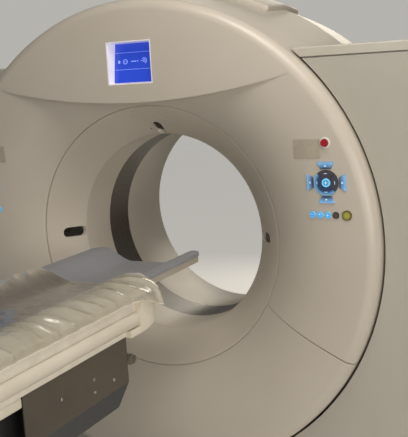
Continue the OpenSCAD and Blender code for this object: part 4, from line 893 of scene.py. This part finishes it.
# Skirt plates: brown-grey sheet under the frame that guards the lift, folded inwards at the bottom.
# Four small screws on each side hold it to brackets, and a tube ties the two plates together in front.
SKIRT_X, SKIRT_T, SKIRT_TOP, BEND, FOLD_END, FOLD_IN = 0.258, 0.004, -0.1623, -0.3023, -0.3683, 0.014
SKIRT_Y0, SKIRT_Y1, CHAMFER, TUBE_Y, TUBE_Z, TUBE_R = -1.569, -1.066, 0.045, -1.016, -0.250, 0.017
TUBE_WALL, TUBE_L = 0.003, 0.500
SCREW = [(0, 0.0016), (0.0030, 0.0015), (0.0048, 0.0009), (0.0052, 0.0)]
SCREW_PLACES = [(-1.250, -0.231), (-1.147, -0.268), (-1.250, -0.269), (-1.408, -0.231)]


def place_along(tree, axis):
    """Socket with the place on the piece along an axis."""
    place = add(tree, "ShaderNodeSeparateXYZ", Vector=tree.nodes["Texture Coordinate"].outputs["Object"])
    return place.outputs[axis]


def second_colour(material, share, tint):
    """Blends a tint over a finish's own colour by a share."""
    tree = material.node_tree
    base = tree.nodes["Principled BSDF"].inputs["Base Color"]
    mix = add(tree, "ShaderNodeMix", {"data_type": "RGBA"})
    tree.links.new(share, mix.inputs[0])
    tree.links.new(base.links[0].from_socket, mix.inputs[6])
    mix.inputs[7].default_value = colour(tint)
    tree.links.new(mix.outputs[2], base)


def crossbar(radius, length):
    """Round bar along X, where the cross tube is."""
    bar = bmesh.new()
    place = Matrix.Translation((0, TUBE_Y, AXIS_Z + TUBE_Z)) @ Matrix.Rotation(math.pi / 2, 4, "Y")
    bmesh.ops.create_cone(bar, cap_ends=True, segments=36, radius1=radius, radius2=radius, depth=length,
                          matrix=place)
    return bar


inner_x = SKIRT_X - SKIRT_T
skirt_section = [(SKIRT_X - 0.060, SKIRT_TOP - SKIRT_T), (SKIRT_X - 0.060, SKIRT_TOP), (SKIRT_X, SKIRT_TOP),
                 (SKIRT_X, BEND + 0.003), (SKIRT_X - 0.0008, BEND - 0.003), (SKIRT_X - FOLD_IN, FOLD_END),
                 (inner_x - FOLD_IN, FOLD_END), (inner_x, BEND), (inner_x, SKIRT_TOP - SKIRT_T)]
skirts = []
for side in (1, -1):
    plate = placed("plate", prism([(side * x, z) for x, z in skirt_section], SKIRT_Y0, SKIRT_Y1), None)
    notch = [(SKIRT_Y1 + 0.001, BEND + 0.001), (SKIRT_Y1 + 0.001, FOLD_END - 0.001),
             (SKIRT_Y1 - CHAMFER, FOLD_END - 0.001)]
    carve(plate, extruded([(side * 0.15, y, AXIS_Z + z) for y, z in notch], (side * 0.15, 0, 0)))
    skirts.append(taken(plate))
    skirts.append(box((side * 0.206, -1.106, -0.262), (side * 0.210, -1.000, SKIRT_TOP - SKIRT_T)))
skirt = placed("skirt_sheets", joined(*skirts), "lift")
# Powder coat on sheet steel: a fine rough skin, brown-grey on the side, and painted shade makes the inward
# fold below a darker blue-grey.
skirt_paint = finish("skirt_paint", "#585147", "#4b453c", 0.46, cloud_mm=180, grain_mm=1.5, relief=0.2,
                     edge_mm=1.5)
# Painted shade on the fold: a darker blue-grey below the bend.
below = add(skirt_paint.node_tree, "ShaderNodeMapRange", Value=place_along(skirt_paint.node_tree, "Z"),
            From_Min=AXIS_Z + BEND - 0.003, From_Max=AXIS_Z + BEND + 0.003, To_Min=1.0, To_Max=0.0)
second_colour(skirt_paint, below.outputs["Result"], "#3d3f41")
smooth(skirt, skirt_paint)
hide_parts("skirt_plates")
cross_tube = placed("cross_tube", crossbar(TUBE_R, TUBE_L), "lift")
carve(cross_tube, crossbar(TUBE_R - TUBE_WALL, TUBE_L + 0.020))
# The tube's paint is paler and smoother, and shows a thin light along its top.
tube_paint = finish("tube_grey", "#8d877b", "#7f796e", 0.42, cloud_mm=90, grain_mm=1, relief=0.1)
smooth(cross_tube, tube_paint)
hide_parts("skirt_plates")
skirt_screws = placed("skirt_screws", joined(*[knob(SCREW, (side * SKIRT_X, y, AXIS_Z + z), (side, 0, 0), 14)
                                               for side in (1, -1) for y, z in SCREW_PLACES]), "lift")
smooth(skirt_screws, screw_steel, 60)

# Underside of the frame behind the skirt: a black moulded shroud in front of the lift cover.
# Above it a cream trim covers the frame's lower edge on each side; both are held by clips out of sight.
shroud = placed("front_shroud", box((-0.211, -1.6180, -0.375), (0.211, -1.420, -0.1655)), "lift")
soften(shroud, 0.012, lambda spot: True, 4)
smooth(shroud, black_plastic)
trims = placed("edge_trims", joined(*[box((side * 0.222, -2.950, -0.192), (side * 0.2575, -1.5700, -0.1626))
                                      for side in (1, -1)]), "lift")
soften(trims, 0.006, lambda spot: True, 3)
smooth(trims, cap_cream)

# Tabletop: a thin carbon-fibre trough that carries the patient through the bore, on rollers in the frame.
# Its grey-cream gel coat is smooth, so the lamps lie on it as wide soft lights.
TIP_D, TOP_L, TOP_W, TOP_Z, TROUGH = 0.446, 2.400, 0.453, 0.028, 0.050
PAD_T, CRADLE_T, CRADLE_DOWN = 0.0118, 0.0215, 0.0125


def ease(t):
    """Smooth step from 0 to 1."""
    t = min(max(t, 0.0), 1.0)
    return t * t * (3 - 2 * t)


def pad_height(x):
    """Height of the pad's top over the bore axis, across the table."""
    return -TOP_Z - TROUGH * (1 - ease((abs(x) - 0.070) / 0.125))


def trough_sheet(half, tip, length, corner, depth, columns=64, rows=120):
    """Top skin of a trough with rounded front corners, at a depth under the pad's top."""
    skin = bmesh.new()
    bmesh.ops.create_grid(skin, x_segments=columns, y_segments=rows, size=1)
    for v in skin.verts:
        t = (1 - v.co.y) / 2
        back = length * t ** 2.2
        inset = corner - math.sqrt(max(corner ** 2 - max(corner - back, 0) ** 2, 0))
        x = v.co.x * (half - inset)
        v.co = (x, -tip - back, AXIS_Z + pad_height(x) - depth)
    return skin


def thickened(skin, thickness, edge):
    """Gives a skin its thickness downwards and rounds its edges."""
    thick(skin, (0, 0, -thickness))
    rims = [e for e in skin.edges if e.calc_face_angle(0) > 1.0]
    round_off(skin, rims, edge)
    return skin


cradle_skin = trough_sheet(TOP_W / 2 - 0.002, TIP_D + 0.006, TOP_L - 0.006, 0.036, CRADLE_DOWN)
cradle = placed("cradle_shell", thickened(cradle_skin, CRADLE_T, 0.004), "top")
cradle_coat = finish("cradle_coat", "#b4aca1", "#a8a094", 0.32, cloud_mm=200, grain_mm=2, relief=0.03)
smooth(cradle, cradle_coat)
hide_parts("tabletop")

# Pad: a thin foam layer on the cradle in a matt blue-grey vinyl cloth, welded round its edge.
# It is stuck down, and follows the trough in one even thickness.
pad_cloth = finish("pad_cloth", "#909298", "#84878d", 0.62, cloud_mm=250, grain_mm=1.2, relief=0.25)
pad_skin = trough_sheet(TOP_W / 2, TIP_D, TOP_L - 0.004, 0.040, 0.0)
pad = placed("pad_cushion", thickened(pad_skin, PAD_T, 0.003), "top")
smooth(pad, pad_cloth)
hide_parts("table_pad")

# Mattress: a foam mat in a mauve-grey cover that hangs a little over the cradle's sides and lies loose on it.
# The cover is matt, and a paler cream along both shoulders.
MATTRESS_W, MATTRESS_LOW, SHEET_D, SHEET_L = 0.524, -0.059, 0.872, 1.900


def mattress_height(x):
    """Height of the mattress's top over the bore axis, across the table."""
    trough = 0.038 * (1 - ease((abs(x) - 0.050) / 0.120))
    shoulder = 0.028 * (max(abs(x) - 0.200, 0) / (MATTRESS_W / 2 - 0.200)) ** 2
    return 0.010 - TOP_Z - trough - shoulder


def swept(outline, y_front, y_back, steps):
    """Closed body swept along Y from an outline in x and height over the bore axis."""
    body = bmesh.new()
    loop = [body.verts.new((x, y_front, AXIS_Z + z)) for x, z in outline]
    edges = [body.edges.new((loop[i - 1], loop[i])) for i in range(len(loop))]
    bmesh.ops.spin(body, geom=loop + edges, cent=(0, 0, 0), axis=(0, 0, 1),
                   dvec=(0, (y_back - y_front) / steps, 0), angle=0, steps=steps, use_merge=False)
    bmesh.ops.holes_fill(body, edges=[e for e in body.edges if e.is_boundary], sides=0)
    bmesh.ops.recalc_face_normals(body, faces=body.faces)
    return body


def off_middle(tree):
    """Socket with the distance from the table's middle, on both sides alike."""
    away = add(tree, "ShaderNodeMath", {"operation": "ABSOLUTE"})
    tree.links.new(place_along(tree, "X"), away.inputs[0])
    return away.outputs["Value"]


mat_half = MATTRESS_W / 2
mat_inner = TOP_W / 2 + 0.002
mat_outline = ([(x, mattress_height(x) - 0.0005) for x in spread(-mat_half, mat_half, 60)]
               + [(mat_half, MATTRESS_LOW), (mat_inner, MATTRESS_LOW)]
               + [(x, pad_height(x) + 0.0006) for x in spread(mat_inner, -mat_inner, 48)]
               + [(-mat_inner, MATTRESS_LOW), (-mat_half, MATTRESS_LOW)])
mat = placed("mattress_pad", swept(mat_outline, -SHEET_D - 0.002, -SHEET_D - SHEET_L + 0.002, 60), "top")
mat_cloth = finish("mattress_cloth", "#75676f", "#665960", 0.6, cloud_mm=150, grain_mm=1.2, relief=0.25)
pale_shoulders = add(mat_cloth.node_tree, "ShaderNodeMapRange", Value=off_middle(mat_cloth.node_tree),
            From_Min=0.140, From_Max=0.205)
second_colour(mat_cloth, pale_shoulders.outputs["Result"], "#c2bda6")
smooth(mat, mat_cloth)
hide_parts("mattress")

# Sheet: clear vinyl film over the mattress, yellowed with age, that hangs down both sides in a wrinkled hem.
# It lies loose. Cross folds run over both shoulders, and the front corners hang lower and stand off a little.
SHEET_HEM, FILM_OUT, COLUMNS, ROWS = 0.066, 0.0012, 220, 420
FOLD_PITCH, FOLD_H, CREASE_H, SLACK_H = 0.072, 0.0075, 0.0018, 0.0022
HANG_START, BEAD_R, BEAD_SIDES = 0.262, 0.0011, 6


def sheet_section():
    """Points of the flat sheet's run across the mattress, from hem to hem."""
    half = MATTRESS_W / 2 + FILM_OUT
    coarse = [(-half, -SHEET_HEM), (-half, mattress_height(half) - 0.004)]
    coarse += [(x, mattress_height(x) + FILM_OUT) for x in spread(-MATTRESS_W / 2, MATTRESS_W / 2, 200)]
    coarse += [(half, mattress_height(half) - 0.004), (half, -SHEET_HEM)]
    lengths = [0.0]
    for a, b in zip(coarse, coarse[1:]):
        lengths.append(lengths[-1] + math.dist(a, b))
    return coarse, lengths


def along(points, lengths, distance):
    """Point at a distance along a run."""
    for i in range(1, len(points)):
        if distance <= lengths[i] or i == len(points) - 1:
            t = (distance - lengths[i - 1]) / max(lengths[i] - lengths[i - 1], 1e-9)
            return Vector([points[i - 1][k] + (points[i][k] - points[i - 1][k]) * t for k in (0, 1)])


def wave(*place):
    """Smooth noise between about -1 and 1."""
    return noise.noise(Vector(place))


def fold_height(w, back, side):
    """Height of the film's folds over its flat place, by the run off the middle and from the front."""
    phase = (back + 0.6 * (w - 0.2)) / FOLD_PITCH + 0.8 * wave(back * 7, w * 6, side * 3.1)
    ridge = (0.5 + 0.5 * math.cos(2 * math.pi * phase)) ** 2
    band = ease((w - 0.12) / 0.06) * (1 - ease((w - 0.27) / 0.05))
    strength = max(0.6 + 0.8 * wave(back * 5.3, side * 7, 2.2), 0.15)
    crease = max(wave(back * 42 + w * 18, w * 30, side * 5.0), 0)
    slack = max(wave(back * 5, w * 9 * side, 1.7), 0)
    return FOLD_H * band * strength * ridge + CREASE_H * crease + SLACK_H * slack


run, run_lengths = sheet_section()
half_run = run_lengths[-1] / 2
base = [along(run, run_lengths, 2 * half_run * i / COLUMNS) for i in range(COLUMNS + 1)]
sheet_shape = bmesh.new()
bmesh.ops.create_grid(sheet_shape, x_segments=COLUMNS, y_segments=ROWS, size=1)
hems = {1: [], -1: []}
for v in sheet_shape.verts:
    i = round((v.co.x + 1) / 2 * COLUMNS)
    back = SHEET_L * ((1 - v.co.y) / 2) ** 1.5
    w = abs(2 * half_run * i / COLUMNS - half_run)
    side = 1 if 2 * i >= COLUMNS else -1
    run_way = (base[min(i + 1, COLUMNS)] - base[max(i - 1, 0)]).normalized()
    x, z = base[i] + Vector((-run_way.y, run_way.x)) * fold_height(w, back, side)
    hang = min(max((w - HANG_START) / (half_run - HANG_START), 0), 1)
    z -= 0.045 * max(1 - back / 0.14, 0) ** 1.4 * hang
    x += side * 0.020 * math.sqrt(hang) * (1 - ease((back - 0.12) / 0.05))
    ruffle = 0.5 * wave(back * 20, side * 4, 0.6) + 0.5 * wave(back * 14, side * 9, 3.3)
    x += side * hang * (0.004 + 0.004 * ruffle)
    z += 0.002 * hang * wave(back * 11, side * 6, 8.1)
    v.co = (x, -SHEET_D - back, AXIS_Z + z)
    if i in (0, COLUMNS):
        hems[side].append((back, v.co.copy()))
across_run, length_run = 0.0, 0.0
for e in sheet_shape.edges:
    if abs(e.verts[0].co.y - e.verts[1].co.y) < 1e-7:
        across_run += e.calc_length()
    else:
        length_run += e.calc_length()
sheet = placed("vinyl_film", sheet_shape, "top")
# Soft vinyl: clear where it lies in the middle, milky down the sides, with wet-looking lights on its ridges.
film = finish("vinyl_film", "#eae6d9", "#dad5c3", 0.12, cloud_mm=120, grain_mm=12, relief=0.3)
film_tree = film.node_tree
film_shader = film_tree.nodes["Principled BSDF"]
lying = add(film_tree, "ShaderNodeMapRange", Value=off_middle(film_tree), From_Min=0.110, From_Max=0.200,
            To_Min=0.88, To_Max=0.55)
film_tree.links.new(lying.outputs["Result"], film_shader.inputs["Transmission Weight"])
film_shader.inputs["Coat Weight"].default_value = 0.7
film_shader.inputs["Coat Roughness"].default_value = 0.09
smooth(sheet, film, 60)
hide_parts("vinyl_sheet")
bead = bmesh.new()
for side in (1, -1):
    rings = []
    for back, spot in sorted(hems[side], key=lambda entry: entry[0]):
        rings.append([bead.verts.new(spot + Vector((BEAD_R * math.cos(a), 0, BEAD_R * math.sin(a))))
                      for a in spread(0, 2 * math.pi, BEAD_SIDES)[:-1]])
    for first, second in zip(rings, rings[1:]):
        for k in range(BEAD_SIDES):
            bead.faces.new((first[k - 1], first[k], second[k], second[k - 1]))
bmesh.ops.recalc_face_normals(bead, faces=bead.faces)
hem_bead = placed("hem_bead", bead, "top")
# The hem is drawn as a narrow off-white line along the film's edge.
bead_white = finish("hem_bead", "#efe9d8", "#e2dbc6", 0.22, cloud_mm=60, grain_mm=2, relief=0.05)
smooth(hem_bead, bead_white, 60)
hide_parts("vinyl_sheet")
